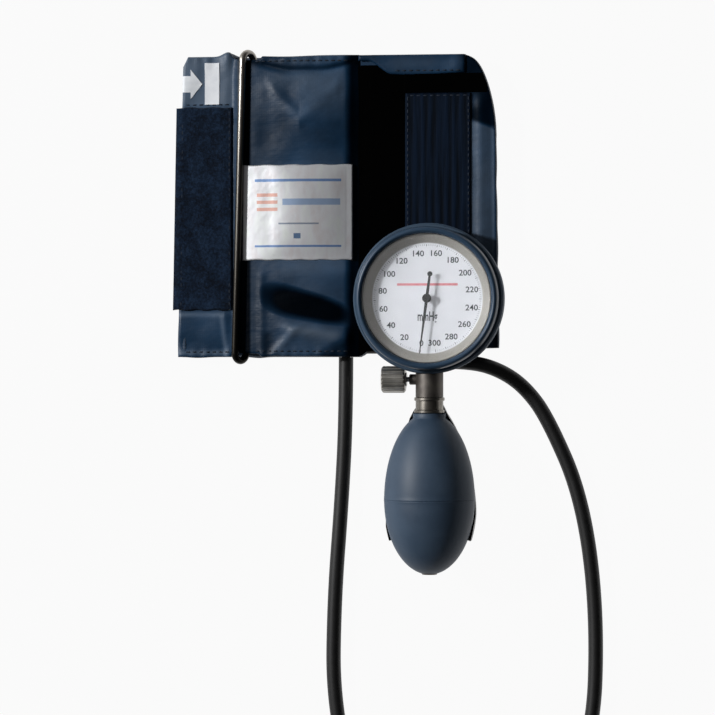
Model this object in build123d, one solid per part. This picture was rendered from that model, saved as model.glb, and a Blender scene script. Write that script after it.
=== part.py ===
"""Palm aneroid sphygmomanometer with its folded arm cuff and hose, lying on a table.

Millimetres. +X runs along the cuff's width on the table, +Y from the bulb to the gauge and +Z up.
The origin is on the table, under the middle of the cuff and the hand unit.
"""

import os
from math import acos, atan2, ceil, cos, degrees, hypot, pi, radians, sin, tan

from build123d import *

os.makedirs("parts", exist_ok=True)

# Clearances
layer_gap = 0.2
fit_gap = 0.05
seat_gap = 0.05
soft_gap = 0.3

# Arm cuff, folded flat in three layers
cuff_left = -79.0
cuff_right = 75.4
left_taper = 2.6
right_taper = 1.9
cuff_top = 121.7
cuff_bottom = -21.8
step_x = 10.0
step_rise = 2.3
right_rise = 2.0
tall_corner = (17.0, 38.0)
small_corner = 3.0
cloth = 0.9
pouch_height = 7.4
middle_layer = 1.8
strip_layer = 1.6
panel_layer = 1.6
valley_drop = 0.6
valley_left = 9.0
valley_right = 31.0
label_panel_rise = 2.9
fold_radius = 3.6

# Bladder in the cuff's lower layer
bladder_wall = 1.1
bladder_left = -34.0
bladder_right = 62.0
bladder_end_room = 8.0
nipple_r = 2.0
nipple_bore_r = 1.2
nipple_reach = 9.0

# Loop pad, hook pad and label
loop_left = -80.0
loop_right = -52.0
loop_low = 0.6
loop_high = 97.4
loop_thick = 1.3
hook_left = 31.5
hook_right = 62.4
hook_low = -4.3
hook_high = 103.0
hook_thick = 1.2
label_left = -43.5
label_right = 6.3
label_low = 24.2
label_high = 69.6
label_thick = 0.45

# Metal ring that the cuff's end runs through
ring_wire_r = 1.7
ring_length = 150.0
ring_middle_y = 49.75
ring_top_leg = (-48.2, 13.3)
ring_leg_step = (4.4, -6.0)
ring_lean = 1.51
ring_sleeve_cloth = 0.9
ring_dip = 4.4
ring_strip = 1.2
ring_strip_gap = 0.2
ring_relief = 1.9

# Hand unit: one axis carries the gauge, the valve and the bulb
unit_x = 44.05
unit_z = 24.0
valve_face_y = -27.4

# Gauge case and its rubber guard
case_r = 33.0
valve_face = case_r
gauge_y = valve_face_y + valve_face
case_wall = 2.0
case_floor = 2.4
back_cone = 9.0
case_flat_r = case_r - back_cone
case_cone_top = 20.2
case_shoulder = 32.0
rim_step = 1.4
rim_r = case_r - rim_step
rim_height = 4.7
rim_top = case_shoulder + rim_height
rim_wall = 1.65
rim_inner_r = rim_r - rim_wall
ledge_rise = 0.8
dial_ledge = case_shoulder + ledge_rise
ledge_width = 1.55
ledge_r = rim_inner_r - ledge_width
guard_thick = 2.2
guard_drop = 0.2
guard_top = case_shoulder - guard_drop
guard_open_half = 18.0
guard_valve_room = 0.4
guard_knob_room = 1.0
air_block_half = 6.5
air_block_length = 14.0
air_block_inner = case_r - air_block_length
air_block_top = 29.2
post_r = 2.5
post_angles = (30, 150, 240)

# Bezel, glass and gasket
bezel_overhang = 0.4
bezel_r = case_r + bezel_overhang
bezel_foot_gap = 0.2
bezel_foot = case_shoulder + bezel_foot_gap
bezel_rise = 3.9
bezel_top = rim_top + bezel_rise
bezel_bevel = 1.2
opening_lip = 0.55
opening_r = rim_inner_r - opening_lip
lens_inset = 0.2
lens_r = rim_r - lens_inset
lens_thick = 1.7
gasket_thick = 0.75

# Dial and pointer
dial_plate = 0.6
dial_rim_height = 3.0
dial_rim_thick = 1.15
dial_slope = 2.5
zero_from_straight_down = 7.5
step_per_20 = 22.9
scale_steps = 15
pointer_height = 2.8
pointer_thick = 0.4
pointer_tip_room = 3.4
pointer_length = opening_r - pointer_tip_room
pointer_tail = 11.4
pointer_dot_r = 1.2
pointer_hub_r = 2.1
pointer_root = 1.5
pointer_tip = 0.4

# Movement between two round plates
plate_thick = 1.0
lower_plate_z = 22.6
plate_room = 2.2
lower_plate_r = ledge_r - plate_room
post_inset = 2.7
post_ring_r = lower_plate_r - post_inset
plate_slot_inset = 9.2
plate_slot_long = 16.0
plate_slot_wide = 7.0
plate_space = 6.0
upper_plate_thick = 0.8
upper_plate_half = 11.5
upper_plate_back = 21.5
upper_plate_front = -12.5
pillar_r = 1.5
pillars = ((-8.6, 18.8), (8.6, 18.8), (0.0, -9.5))
screw_r = 0.8
screw_head_r = 1.6
screw_head = 0.7

# Sector gear and pinion
gear_module = 0.3
pinion_teeth = 10
sector_full_teeth = 100
sector_teeth = 13
sector_rest_angle = -18.0
tooth_share = 0.42
addendum = 0.26
dedendum = 0.42
pinion_z = 26.8
pinion_height = 1.6
sector_z = 27.2
sector_thick = 0.8
sector_rim = 2.2
sector_hub_r = 1.4
arbor_r = 0.45
staff_r = 0.5
follower_reach = 2.2
follower_r = 0.35
collet_r = 1.0

# Rocking shaft, push pin and capsule
shaft_x = -0.85
shaft_z = 24.6
shaft_r = 0.5
shaft_start = 1.8
shaft_end = 15.0
arm_y = 2.5
arm_reach = 2.0
arm_width = 1.0
arm_thick = 0.6
finger_y = 14.35
finger_height = 2.1
ear_places = (4.1, 12.2)
ear_width = 1.0
pin_r = 0.6
pin_travel = 1.15
pin_gap = 0.12
capsule_r = 13.0
capsule_bottom = 17.3
capsule_top = 21.3
capsule_waves = 3
capsule_wave = 0.35
stud_r = 3.0
pipe_r = 0.8
pipe_z = 16.3

# Hairspring on the arbor
spring_z = 28.8
spring_height = 0.4
spring_wire = 0.16
spring_inner = 1.11
spring_outer = 4.5
spring_turns = 4

# Valve body, bands and one-way valves
valve_r = 6.5
valve_end = -40.6
stem_r = 4.5
stem_end = -17.4
air_bore_r = 1.5
spigot_r = 5.0
band_end = -48.2
neck_spigot_r = 4.4
neck_spigot_end = -58.0
band_inner_gap = 0.1
band_r = 7.15
band_waist_r = 6.5
band_width = 1.7
chamber_r = 3.2
chamber_top = -53.2
seat_depth = 2.5
disc_r = 2.8
disc_thick = 1.2
disc_travel = 0.8

# Release valve on the side
release_y = -32.3
spindle_r = 1.2
release_bore_r = 1.3
needle_reach = 2.4
nut_r = 2.5
nut_out = 2.9
nut_in = 2.5
knob_gap = 1.9
knob_r = 6.3
knob_length = 11.1
spindle_in_knob = 8.0
knob_flutes = 20
flute_r = 0.5
thread_pitch = 0.7
knob_turns = 1.5

# Bulb and its inlet valve
bulb_r = 21.3
bulb_wall = 2.2
seam_y = -88.7
bulb_upper = 41.0
bulb_lower = 35.1
neck_r = 7.75
collar_r = 6.2
collar_end = -113.0
inlet_r = 4.0
inlet_end = -123.8
inlet_hole_r = 0.9
ball_r = 1.6
ball_room_r = 1.8
ball_room = 5.0
ball_travel = 2.0

# Palm spoon behind the bulb
spoon_gap = 1.0
spoon_thick = 1.7
spoon_tab_half = 5.5
spoon_tab_start = -30.5
spoon_tab_end = -43.5
spoon_tab_r = 7.35
spoon_swell = (15.2, -64.0)
spoon_widest = (21.1, -92.0)
spoon_side = (20.9, -100.0)
spoon_end = (19.2, -108.1)
spoon_screw_y = -35.0
spoon_screw_r = 1.25
spoon_screw_head_r = 2.4
spoon_screw_head = 1.4
spoon_screw_depth = 4.6
spoon_boss_r = 3.0

# Hose and its barbed elbow under the gauge
hose_r = 3.5
hose_bore_r = 2.05
elbow_y = -24.0
elbow_z = 9.0
elbow_r = 3.0
elbow_bend = 4.0
elbow_shoulder_x = 50.4
barb_r = 2.0
barb_root_r = 1.6
barb_length = 9.0
barb_count = 3
barb_bore_r = 1.0
elbow_top = 19.4
elbow_boss_r = 4.5
elbow_boss_bottom = 14.8
hose_z = pouch_height / 2
hose_x = 2.05


def write(shape, node):
    """One STEP file for one node."""
    export_step(shape, "parts/" + node + ".step")


def face_of(points):
    """A flat face inside a closed run of points."""
    return make_face(Polyline(*points, close=True))


def turned_z(points, middle=(0.0, 0.0)):
    """A profile of (radius, z) turned about an upright axis."""
    profile = face_of([(r, 0, z) for r, z in points])
    return Pos(middle[0], middle[1], 0) * revolve(profile, Axis.Z)


def turned_y(points):
    """A profile of (radius, y) turned about the hand unit's long axis."""
    return Pos(unit_x, 0, unit_z) * revolve(face_of(points), Axis.Y)


def turned_x(points):
    """A profile of (x, radius) turned about the release valve's axis."""
    return Pos(0, release_y, unit_z) * revolve(face_of(points), Axis.X)


def rod_z(radius, low, high, middle=(0.0, 0.0)):
    """An upright rod between two heights."""
    return turned_z([(0, low), (radius, low), (radius, high), (0, high)], middle)


def block(x0, x1, y0, y1, z0, z1):
    """A box between its low and high faces."""
    middle = Pos((x0 + x1) / 2, (y0 + y1) / 2, (z0 + z1) / 2)
    return middle * Box(x1 - x0, y1 - y0, z1 - z0)


def in_gauge(shape):
    """Moves a shape from the gauge's own centre to its place on the hand unit."""
    return Pos(unit_x, gauge_y, 0) * shape


# Levels of the cuff's layers
middle_low = pouch_height + layer_gap
middle_high = middle_low + middle_layer
strip_high = middle_low + strip_layer
panel_low = middle_high + layer_gap
panel_high = panel_low + panel_layer
sleeve_r = ring_wire_r + 2 * fit_gap + ring_sleeve_cloth
low_leg = (ring_top_leg[0] + ring_leg_step[0], ring_top_leg[1] + ring_leg_step[1])
ring_cloth_low = low_leg[1] + sleeve_r + ring_strip_gap
ring_cloth_high = ring_cloth_low + ring_strip
lean_reach = tan(radians(ring_lean)) * ring_length / 2
hook_top = panel_high + hook_thick
gauge_back = hook_top + soft_gap
label_base = [(-45.0, ring_cloth_high), (-18.0, panel_high + label_panel_rise), (valley_left, panel_high)]


def label_arc(lift, start_x, end_x):
    """The crowned top of the label panel, as an arc lifted by a step and cut at two places."""
    (x1, z1), (x2, z2), (x3, z3) = label_base
    arc = ThreePointArc((x1, z1 + lift), (x2, z2 + lift), (x3, z3 + lift))
    middle, radius = arc.arc_center, arc.radius
    ends = [(x, middle.Y + (radius**2 - (x - middle.X) ** 2) ** 0.5) for x in (start_x, end_x)]
    half = (start_x + end_x) / 2
    crown = (half, middle.Y + (radius**2 - (half - middle.X) ** 2) ** 0.5)
    return ThreePointArc(ends[0], crown, ends[1])


def standing(sketch, high_y, low_y):
    """A sketch of the cuff's cross-section, drawn in X and Z, carried along Y between two places."""
    return extrude(Plane((0, high_y, 0), x_dir=(1, 0, 0), z_dir=(0, -1, 0)) * sketch, high_y - low_y)


def section_box(x0, x1, z0, z1):
    """A rectangle of the cuff's cross-section."""
    return Pos((x0 + x1) / 2, (z0 + z1) / 2) * Rectangle(x1 - x0, z1 - z0)


def cuff_outline():
    """The folded cuff seen from above: tall corner at the free end, a small one by the arrow."""
    wide, tall = tall_corner
    left_top, right_top = cuff_left + left_taper, cuff_right - right_taper
    right_low = cuff_bottom + step_rise + right_rise
    edges = [
        Line((cuff_left, cuff_bottom), (step_x, cuff_bottom)),
        Line((step_x, cuff_bottom), (step_x + small_corner, cuff_bottom + step_rise)),
        Line((step_x + small_corner, cuff_bottom + step_rise), (cuff_right, right_low)),
        Line((cuff_right, right_low), (right_top, cuff_top - tall)),
        EllipticalCenterArc((right_top - wide, cuff_top - tall), wide, tall, 0, arc_size=90),
        Line((right_top - wide, cuff_top), (left_top + small_corner, cuff_top)),
        Line((left_top + small_corner, cuff_top), (left_top, cuff_top - 2 * small_corner)),
        Line((left_top, cuff_top - 2 * small_corner), (cuff_left, cuff_bottom)),
    ]
    return extrude(make_face(Wire(edges)), 2 * gauge_back)


def ring_place(shape):
    """Leans the ring and its sleeve on the cuff by the small angle about the ring's middle."""
    middle_x = (ring_top_leg[0] + low_leg[0]) / 2
    turn = Pos(middle_x, ring_middle_y, 0) * Rot(0, 0, -ring_lean) * Pos(-middle_x, -ring_middle_y, 0)
    return turn * shape


def cuff_sleeve():
    """Nylon sleeve: pouch layer below, middle layer, and the top layer through the ring."""
    pouch_right = cuff_right - fold_radius
    pouch = section_box(cuff_left + fold_radius, pouch_right, 0, pouch_height)
    dip_left = ring_top_leg[0] - lean_reach - 1.0
    dip_right = low_leg[0] + sleeve_r + lean_reach + 0.5
    pouch -= section_box(dip_left, dip_right, ring_dip, pouch_height)
    middle_left = dip_right + 1.0
    middle = section_box(middle_left, pouch_right, middle_low, middle_high)
    right_fold = section_box(pouch_right - 1, cuff_right, 0, middle_high)
    right_fold = fillet(right_fold.vertices().group_by(Axis.X)[-1], fold_radius)
    left_fold = section_box(cuff_left, cuff_left + fold_radius + 1, 0, strip_high)
    left_fold = fillet(left_fold.vertices().group_by(Axis.X)[0], fold_radius)
    rise_start = loop_right + 0.3
    rise_end = low_leg[0] - sleeve_r - lean_reach
    strip = face_of(
        [
            (cuff_left + fold_radius, middle_low),
            (rise_start, middle_low),
            (rise_end, ring_cloth_low),
            (rise_end + 1, ring_cloth_high),
            (rise_end - 0.3, ring_cloth_high),
            (rise_start, strip_high),
            (cuff_left + fold_radius, strip_high),
        ]
    )
    crown_start = label_base[0][0]
    arc = label_arc(0, crown_start, valley_left)
    panel = make_face(
        Wire(
            [
                Line((rise_end, ring_cloth_low), (dip_right, ring_cloth_low)),
                Line((dip_right, ring_cloth_low), (dip_right + 3, panel_low)),
                Line((dip_right + 3, panel_low), (valley_left, panel_low)),
                Line((valley_left, panel_low), arc @ 1),
                arc,
                Line(arc @ 0, (rise_end, ring_cloth_high)),
                Line((rise_end, ring_cloth_high), (rise_end, ring_cloth_low)),
            ]
        )
    )
    valley = section_box(valley_left, valley_right, panel_low, panel_high - valley_drop)
    right_panel = section_box(valley_right, cuff_right, panel_low, panel_high)
    section = pouch + middle + right_fold + left_fold + strip + panel + valley + right_panel
    # The free end lies on the fold below it, held to it by a line of stitches at the fold's side.
    section += section_box(pouch_right - 2, pouch_right - 1, middle_high, panel_low)
    body = standing(section, cuff_top, cuff_bottom) & cuff_outline()
    body -= block(
        bladder_left - 0.5,
        bladder_right + 0.5,
        cuff_bottom + cloth,
        cuff_top - bladder_end_room,
        cloth,
        pouch_height - cloth,
    )
    body -= block(dip_left, dip_right, cuff_top - ring_relief, cuff_top + 1, ring_dip, 2 * gauge_back)
    body -= block(dip_left, dip_right, cuff_bottom - 1, cuff_bottom + ring_relief, ring_dip, 2 * gauge_back)
    nipple_hole = Plane((hose_x, cuff_bottom - 1, hose_z), z_dir=(0, 1, 0)) * Circle(nipple_r + fit_gap)
    body -= extrude(nipple_hole, 3)
    sleeve = Pos(*low_leg) * Circle(sleeve_r) + section_box(
        low_leg[0], middle_left + 1, middle_low + 0.1, middle_high - 0.2
    )
    sleeve -= Pos(*low_leg) * Circle(ring_wire_r + fit_gap)
    end_room = ring_length / 2 - abs(ring_leg_step[0]) - abs(ring_leg_step[1]) / 2
    sleeve_solid = standing(sleeve, ring_middle_y + end_room, ring_middle_y - end_room)
    return body + ring_place(sleeve_solid)


def bladder():
    """Hollow rubber bag with a moulded nipple that reaches into the hose."""
    low, high = cloth + fit_gap, pouch_height - cloth - fit_gap
    front = cuff_bottom + cloth + 2 * layer_gap
    back = cuff_top - bladder_end_room - 0.5
    bag = block(bladder_left, bladder_right, front, back, low, high)
    bag = fillet(bag.edges().filter_by(Axis.Z), 6.0)
    inner = offset(bag, -bladder_wall, kind=Kind.INTERSECTION)
    nipple_end = cuff_bottom - nipple_reach
    nipple = Plane((hose_x, nipple_end, hose_z), z_dir=(0, 1, 0)) * Circle(nipple_r)
    bore = Plane((hose_x, nipple_end, hose_z), z_dir=(0, 1, 0)) * Circle(nipple_bore_r)
    length = front - nipple_end + bladder_wall / 2
    return bag + extrude(nipple, length) - inner - extrude(bore, length + bladder_wall)


def pad(left, right, low, high, bottom, thick, corner):
    """A flat sewn pad with rounded corners and a rounded top edge."""
    base = block(left, right, low, high, bottom, bottom + thick)
    return fillet(base.edges().filter_by(Axis.Z), corner)


def label_patch():
    """Thin woven label sewn along the crown of its panel."""
    under = label_arc(seat_gap, label_left, label_right)
    over = label_arc(seat_gap + label_thick, label_left, label_right)
    edges = [under, Line(under @ 1, over @ 1), over, Line(over @ 0, under @ 0)]
    return standing(make_face(Wire(edges)), label_high, label_low)


def ring_bar():
    """Closed wire ring: two straight legs and two half-round ends, swept as one wire."""
    step = hypot(*ring_leg_step)
    straight = ring_length / 2 - ring_wire_r - step / 2
    route = SlotCenterToCenter(2 * straight, step).face().outer_wire()
    along = Vector(-ring_leg_step[0], 0, -ring_leg_step[1]).normalized()
    frame = Plane(
        ((ring_top_leg[0] + low_leg[0]) / 2, ring_middle_y, (ring_top_leg[1] + low_leg[1]) / 2),
        x_dir=(0, 1, 0),
        z_dir=Vector(0, 1, 0).cross(along),
    )
    route = frame * route
    start = route @ 0
    section = Plane(start, z_dir=route % 0) * Circle(ring_wire_r)
    return ring_place(sweep(section, path=route))


def gauge_case():
    """Moulded cup with a coned back, the air block on its valve side and three posts inside."""
    profile = [
        (0, gauge_back),
        (case_flat_r, gauge_back),
        (case_r, case_cone_top),
        (case_r, case_shoulder),
        (rim_r, case_shoulder),
        (rim_r, rim_top),
        (rim_inner_r, rim_top),
        (rim_inner_r, dial_ledge),
        (ledge_r, dial_ledge),
        (ledge_r, case_cone_top + 0.6),
        (case_flat_r - 1.2, gauge_back + case_floor),
        (0, gauge_back + case_floor),
    ]
    case = turned_z(profile)
    floor = gauge_back + case_floor
    half = air_block_half
    case += block(-half, half, -ledge_r - 1, -air_block_inner, floor - 0.5, air_block_top)
    nose = Plane((0, -valve_face, unit_z), z_dir=(0, 1, 0)) * Circle(valve_r)
    case += extrude(nose, 4)
    local_elbow_y = elbow_y - gauge_y
    case += rod_z(elbow_boss_r, elbow_boss_bottom, elbow_top, (0, local_elbow_y))
    for angle in post_angles:
        place = (post_ring_r * cos(radians(angle)), post_ring_r * sin(radians(angle)))
        case += rod_z(post_r, floor - 0.5, lower_plate_z - seat_gap, place)
        case -= rod_z(screw_r + fit_gap, lower_plate_z - 4, lower_plate_z, place)
    stem_hole = Plane((0, -valve_face, unit_z), z_dir=(0, 1, 0)) * Circle(stem_r + fit_gap)
    case -= extrude(stem_hole, valve_face - (gauge_y - stem_end) + fit_gap)
    air_hole = Plane((0, -valve_face, unit_z), z_dir=(0, 1, 0)) * Circle(air_bore_r)
    case -= extrude(air_hole, valve_face - air_block_inner - case_wall)
    case -= block(-valve_r, valve_r, -valve_face - valve_r, -valve_face, gauge_back, air_block_top)
    case -= rod_z(elbow_r + fit_gap, gauge_back, elbow_top, (0, local_elbow_y))
    pipe_x = shaft_x - arm_reach * cos(radians(sector_rest_angle))
    drop = (pipe_x, -air_block_inner - 2 * case_wall)
    case -= rod_z(pipe_r, pipe_z, unit_z, drop)
    pipe_hole = Plane((pipe_x, drop[1], pipe_z), z_dir=(0, 1, 0)) * Circle(pipe_r + fit_gap)
    case -= extrude(pipe_hole, 3 * case_wall)
    return in_gauge(case)


def case_guard():
    """Rubber guard round the case, arched over the valve and the knob and open below them."""
    inner = case_r + fit_gap
    outer = inner + guard_thick
    low = case_cone_top + 0.2
    profile = [
        (inner, low),
        (outer - 0.8, low),
        (outer, low + 1.2),
        (outer, guard_top - 1.2),
        (outer - 0.8, guard_top),
        (inner, guard_top),
    ]
    guard = turned_z(profile)
    guard -= block(-guard_open_half, guard_open_half, -outer - 1, 0, low - 1, unit_z)
    valve_room = Plane((0, -outer - 1, unit_z), z_dir=(0, 1, 0)) * Circle(valve_r + guard_valve_room)
    guard -= extrude(valve_room, outer)
    knob_start = knob_face - knob_length - thread_pitch * knob_turns - guard_knob_room - unit_x
    knob_room = Plane((knob_start, release_y - gauge_y, unit_z), z_dir=(1, 0, 0))
    guard -= extrude(knob_room * Circle(knob_r + guard_knob_room), -knob_start)
    return in_gauge(guard)


lens_low = rim_top + gasket_thick + 2 * seat_gap


def bezel_ring():
    """Screwed ring over the rim: bevelled outside, funnel inside and a lip over the glass."""
    lens_high = lens_low + lens_thick + seat_gap
    inner = rim_r + 0.2
    profile = [
        (inner, bezel_foot),
        (bezel_r, bezel_foot),
        (bezel_r, bezel_top - bezel_bevel),
        (bezel_r - 0.4, bezel_top - 0.35),
        (bezel_r - bezel_bevel, bezel_top),
        (opening_r + 1.6, bezel_top),
        (opening_r + 0.5, bezel_top - 0.35),
        (opening_r, bezel_top - 1.0),
        (opening_r, lens_high),
        (inner, lens_high),
    ]
    return in_gauge(turned_z(profile))


def lens():
    """Flat glass with an eased upper edge."""
    high = lens_low + lens_thick
    profile = [(0, lens_low), (lens_r, lens_low), (lens_r, high - 0.3), (lens_r - 0.3, high), (0, high)]
    return in_gauge(turned_z(profile))


def lens_gasket():
    """Flat rubber washer between the rim and the glass."""
    low = rim_top + seat_gap
    high = low + gasket_thick
    return in_gauge(turned_z([(rim_inner_r, low), (lens_r, low), (lens_r, high), (rim_inner_r, high)]))


dial_low = dial_ledge + seat_gap
dial_top = dial_low + dial_plate
upper_plate_z = lower_plate_z + plate_thick + plate_space
dial_feet = ((-6.5, 12.0), (6.5, 12.0))


def dial():
    """White dish of a dial with a sloping wall, on two feet that enter the upper plate."""
    edge = rim_inner_r - 2 * fit_gap
    profile = [
        (arbor_r + 0.5, dial_low),
        (edge, dial_low),
        (edge, dial_low + dial_rim_height),
        (edge - dial_rim_thick, dial_low + dial_rim_height),
        (edge - dial_rim_thick - dial_slope, dial_top),
        (arbor_r + 0.5, dial_top),
    ]
    plate = turned_z(profile)
    for foot in dial_feet:
        plate += rod_z(screw_r, upper_plate_z + 0.1, dial_low + 0.1, foot)
    return in_gauge(plate)


pointer_low = dial_top + pointer_height
pointer_high = pointer_low + pointer_thick
hub_low, hub_high = pointer_low - 0.4, pointer_high + 0.5


def pointer():
    """Black pointer with a capped hub, tapered to the tip and with a small disc on its tail."""
    blade = extrude(
        face_of(
            [
                (-pointer_root / 2, 0),
                (-pointer_tip / 2, -pointer_length),
                (pointer_tip / 2, -pointer_length),
                (pointer_root / 2, 0),
                (pointer_root / 3, pointer_tail),
                (-pointer_root / 3, pointer_tail),
            ]
        ),
        pointer_thick,
    )
    blade = Pos(0, 0, pointer_low) * blade
    blade += rod_z(pointer_dot_r, pointer_low, pointer_high, (0, pointer_tail))
    profile = [(0, hub_low), (pointer_hub_r, hub_low), (pointer_hub_r, hub_high - 0.4)]
    blade += turned_z(profile + [(pointer_hub_r - 0.4, hub_high), (0, hub_high)])
    blade -= rod_z(arbor_r, hub_low, hub_low + 0.9)
    return in_gauge(Rot(0, 0, -zero_from_straight_down) * blade)


def wheel_outline(teeth, first_angle, count):
    """Points round the teeth of a small spur gear, with pointed flanks that ease at the tip.

    Angles are in degrees about the gear's own centre, and first_angle is the middle of the first tooth.
    """
    pitch_r = gear_module * teeth / 2
    tip_r, root_r = pitch_r + addendum, pitch_r - dedendum
    whole = 360 / teeth
    flank = whole * tooth_share / 2
    root_half = min(flank * 1.35, whole / 2 * 0.92)
    tip_half = flank * 0.45
    points = []
    for index in range(count):
        middle = first_angle + index * whole
        for radius, turn in (
            (root_r, -root_half),
            (pitch_r, -flank),
            (tip_r, -tip_half),
            (tip_r, tip_half),
            (pitch_r, flank),
            (root_r, root_half),
        ):
            angle = radians(middle + turn)
            points.append((radius * cos(angle), radius * sin(angle)))
    return points


centre_distance = gear_module * (pinion_teeth + sector_full_teeth) / 2
sector_ratio = sector_full_teeth / pinion_teeth
pointer_sweep = step_per_20 * scale_steps
sector_swing = pointer_sweep / sector_ratio


def pinion_arbor():
    """Upright arbor with its pinion and the collet of the hairspring."""
    top = hub_low + 0.9 - seat_gap
    low = lower_plate_z + 0.2
    profile = [
        (0, low),
        (arbor_r - 0.1, low),
        (arbor_r - 0.1, lower_plate_z + plate_thick + 0.1),
        (arbor_r, lower_plate_z + plate_thick + 0.1),
        (arbor_r, spring_z),
        (collet_r, spring_z),
        (collet_r, spring_z + 0.6),
        (arbor_r, spring_z + 0.6),
        (arbor_r, top),
        (0, top),
    ]
    arbor = turned_z(profile)
    half_pitch = 180 / pinion_teeth
    teeth = extrude(face_of(wheel_outline(pinion_teeth, 90 + half_pitch, pinion_teeth)), pinion_height)
    return in_gauge(arbor + Pos(0, 0, pinion_z) * teeth)


def sector_gear():
    """Toothed sector on its upright staff, open between hub and rim, with the follower pin below."""
    pitch_r = gear_module * sector_full_teeth / 2
    pitch_angle = 360 / sector_full_teeth
    reach = (sector_teeth - 1) / 2 * pitch_angle
    rim_in = pitch_r - dedendum - sector_rim
    rim_half = reach + pitch_angle / 2
    outline = wheel_outline(sector_full_teeth, 270 - reach, sector_teeth)
    ends = [
        (rim_in * cos(radians(270 + side * rim_half)), rim_in * sin(radians(270 + side * rim_half)))
        for side in (1, -1)
    ]
    edge_r = pitch_r - dedendum
    corners = [
        (edge_r * cos(radians(270 + side * rim_half)), edge_r * sin(radians(270 + side * rim_half)))
        for side in (1, -1)
    ]
    inner = ThreePointArc(ends[0], (0, -rim_in), ends[1])
    border = Polyline(ends[1], corners[1], *outline, corners[0], ends[0])
    rim = make_face(Wire([*border.edges(), inner]))
    blade = extrude(rim, sector_thick)
    spoke_angle = rim_half * 0.62
    for side in (1, -1):
        spoke = Pos(0, -(rim_in + 0.5) / 2) * Rectangle(1.3, rim_in + 0.5)
        blade += extrude(Rot(0, 0, side * spoke_angle) * spoke, sector_thick)
    blade += extrude(Pos(0, -follower_reach / 2) * Rectangle(1.0, follower_reach), sector_thick)
    blade += extrude(Pos(0, -follower_reach) * Circle(0.5), sector_thick)
    blade += extrude(Circle(sector_hub_r), sector_thick + 0.4)
    blade = Pos(0, 0, sector_z) * blade
    blade += rod_z(follower_r, sector_z - 0.8, sector_z + 0.1, (0, -follower_reach))
    low, high = lower_plate_z + 0.2, upper_plate_z + upper_plate_thick - 0.1
    neck_low, neck_high = lower_plate_z + plate_thick + 0.1, upper_plate_z - 0.1
    thin = staff_r - 0.15
    profile = [(0, low), (thin, low), (thin, neck_low), (staff_r, neck_low)]
    profile += [(staff_r, neck_high), (thin, neck_high), (thin, high), (0, high)]
    blade += turned_z(profile)
    return in_gauge(Pos(0, centre_distance, 0) * Rot(0, 0, sector_rest_angle) * blade)


def rocking_shaft():
    """Level shaft with an arm over the push pin and a finger against the sector's follower pin."""
    shaft_face = Plane((0, shaft_start, 0), z_dir=(0, 1, 0)) * Circle(shaft_r)
    shaft = extrude(shaft_face, shaft_end - shaft_start)
    low, high = arm_y - arm_width / 2, arm_y + arm_width / 2
    shaft += block(-arm_reach - 0.4, 0, low, high, -arm_thick / 2, arm_thick / 2)
    shaft += block(-0.3, 0.3, finger_y - 0.5, finger_y + 0.5, 0, finger_height)
    return in_gauge(Pos(shaft_x, 0, shaft_z) * Rot(0, sector_rest_angle, 0) * shaft)


pin_x = shaft_x - arm_reach * cos(radians(sector_rest_angle))
pin_top = shaft_z + (shaft_x - pin_x) * tan(radians(sector_rest_angle))
pin_top -= arm_thick / 2 / cos(radians(sector_rest_angle)) + pin_gap


def push_pin():
    """Hard pin that stands on the capsule and lifts the shaft's arm."""
    low = capsule_top + seat_gap
    profile = [(0, low), (pin_r, low), (pin_r, pin_top - 0.7), (0.12, pin_top), (0, pin_top)]
    return in_gauge(turned_z(profile, (pin_x, arm_y)))


def wavy_edges(start, end, level, depth):
    """Half-round waves between two radii at one level, as arcs."""
    width = (end - start) / (2 * capsule_waves)
    edges = []
    for index in range(2 * capsule_waves):
        a = start + index * width
        lift = depth if index % 2 == 0 else -depth
        edges.append(ThreePointArc((a, level), (a + width / 2, level + lift), (a + width, level)))
    return edges


def capsule():
    """Two corrugated metal diaphragms joined at their rim, on a flat centre boss."""
    boss, rim = 2.6, capsule_r - 1.6
    top, low = capsule_top - 0.6, capsule_bottom + 0.6
    middle = (top + low) / 2
    edges = [
        Line((0, capsule_bottom), (boss, capsule_bottom)),
        Line((boss, capsule_bottom), (boss, low)),
        *wavy_edges(boss, rim, low, -capsule_wave),
        Line((rim, low), (rim + 0.8, middle - 0.3)),
        Line((rim + 0.8, middle - 0.3), (capsule_r, middle - 0.3)),
        Line((capsule_r, middle - 0.3), (capsule_r, middle + 0.3)),
        Line((capsule_r, middle + 0.3), (rim + 0.8, middle + 0.3)),
        Line((rim + 0.8, middle + 0.3), (rim, top)),
        *wavy_edges(boss, rim, top, capsule_wave),
        Line((boss, top), (boss, capsule_top)),
        Line((boss, capsule_top), (0, capsule_top)),
        Line((0, capsule_top), (0, capsule_bottom)),
    ]
    profile = Plane.XZ * make_face(Wire(edges))
    return in_gauge(Pos(pin_x, arm_y, 0) * revolve(profile, Axis.Z))


def capsule_stud():
    """Hollow stud that carries the capsule on the case floor and lets air into it."""
    floor = gauge_back + case_floor + seat_gap
    top = capsule_bottom - seat_gap
    stud = rod_z(stud_r, floor, top, (pin_x, arm_y))
    stud -= rod_z(0.6, pipe_z, top, (pin_x, arm_y))
    side = Plane((pin_x, arm_y - stud_r - 1, pipe_z), z_dir=(0, 1, 0)) * Circle(0.5)
    return in_gauge(stud - extrude(side, stud_r + 1))


def feed_pipe():
    """Thin brass pipe from the air block to the stud."""
    start = -air_block_inner - case_wall
    end = arm_y - stud_r - 0.02
    plane = Plane((pin_x, start, pipe_z), z_dir=(0, 1, 0))
    return in_gauge(extrude(plane * (Circle(pipe_r) - Circle(0.45)), end - start))


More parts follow.
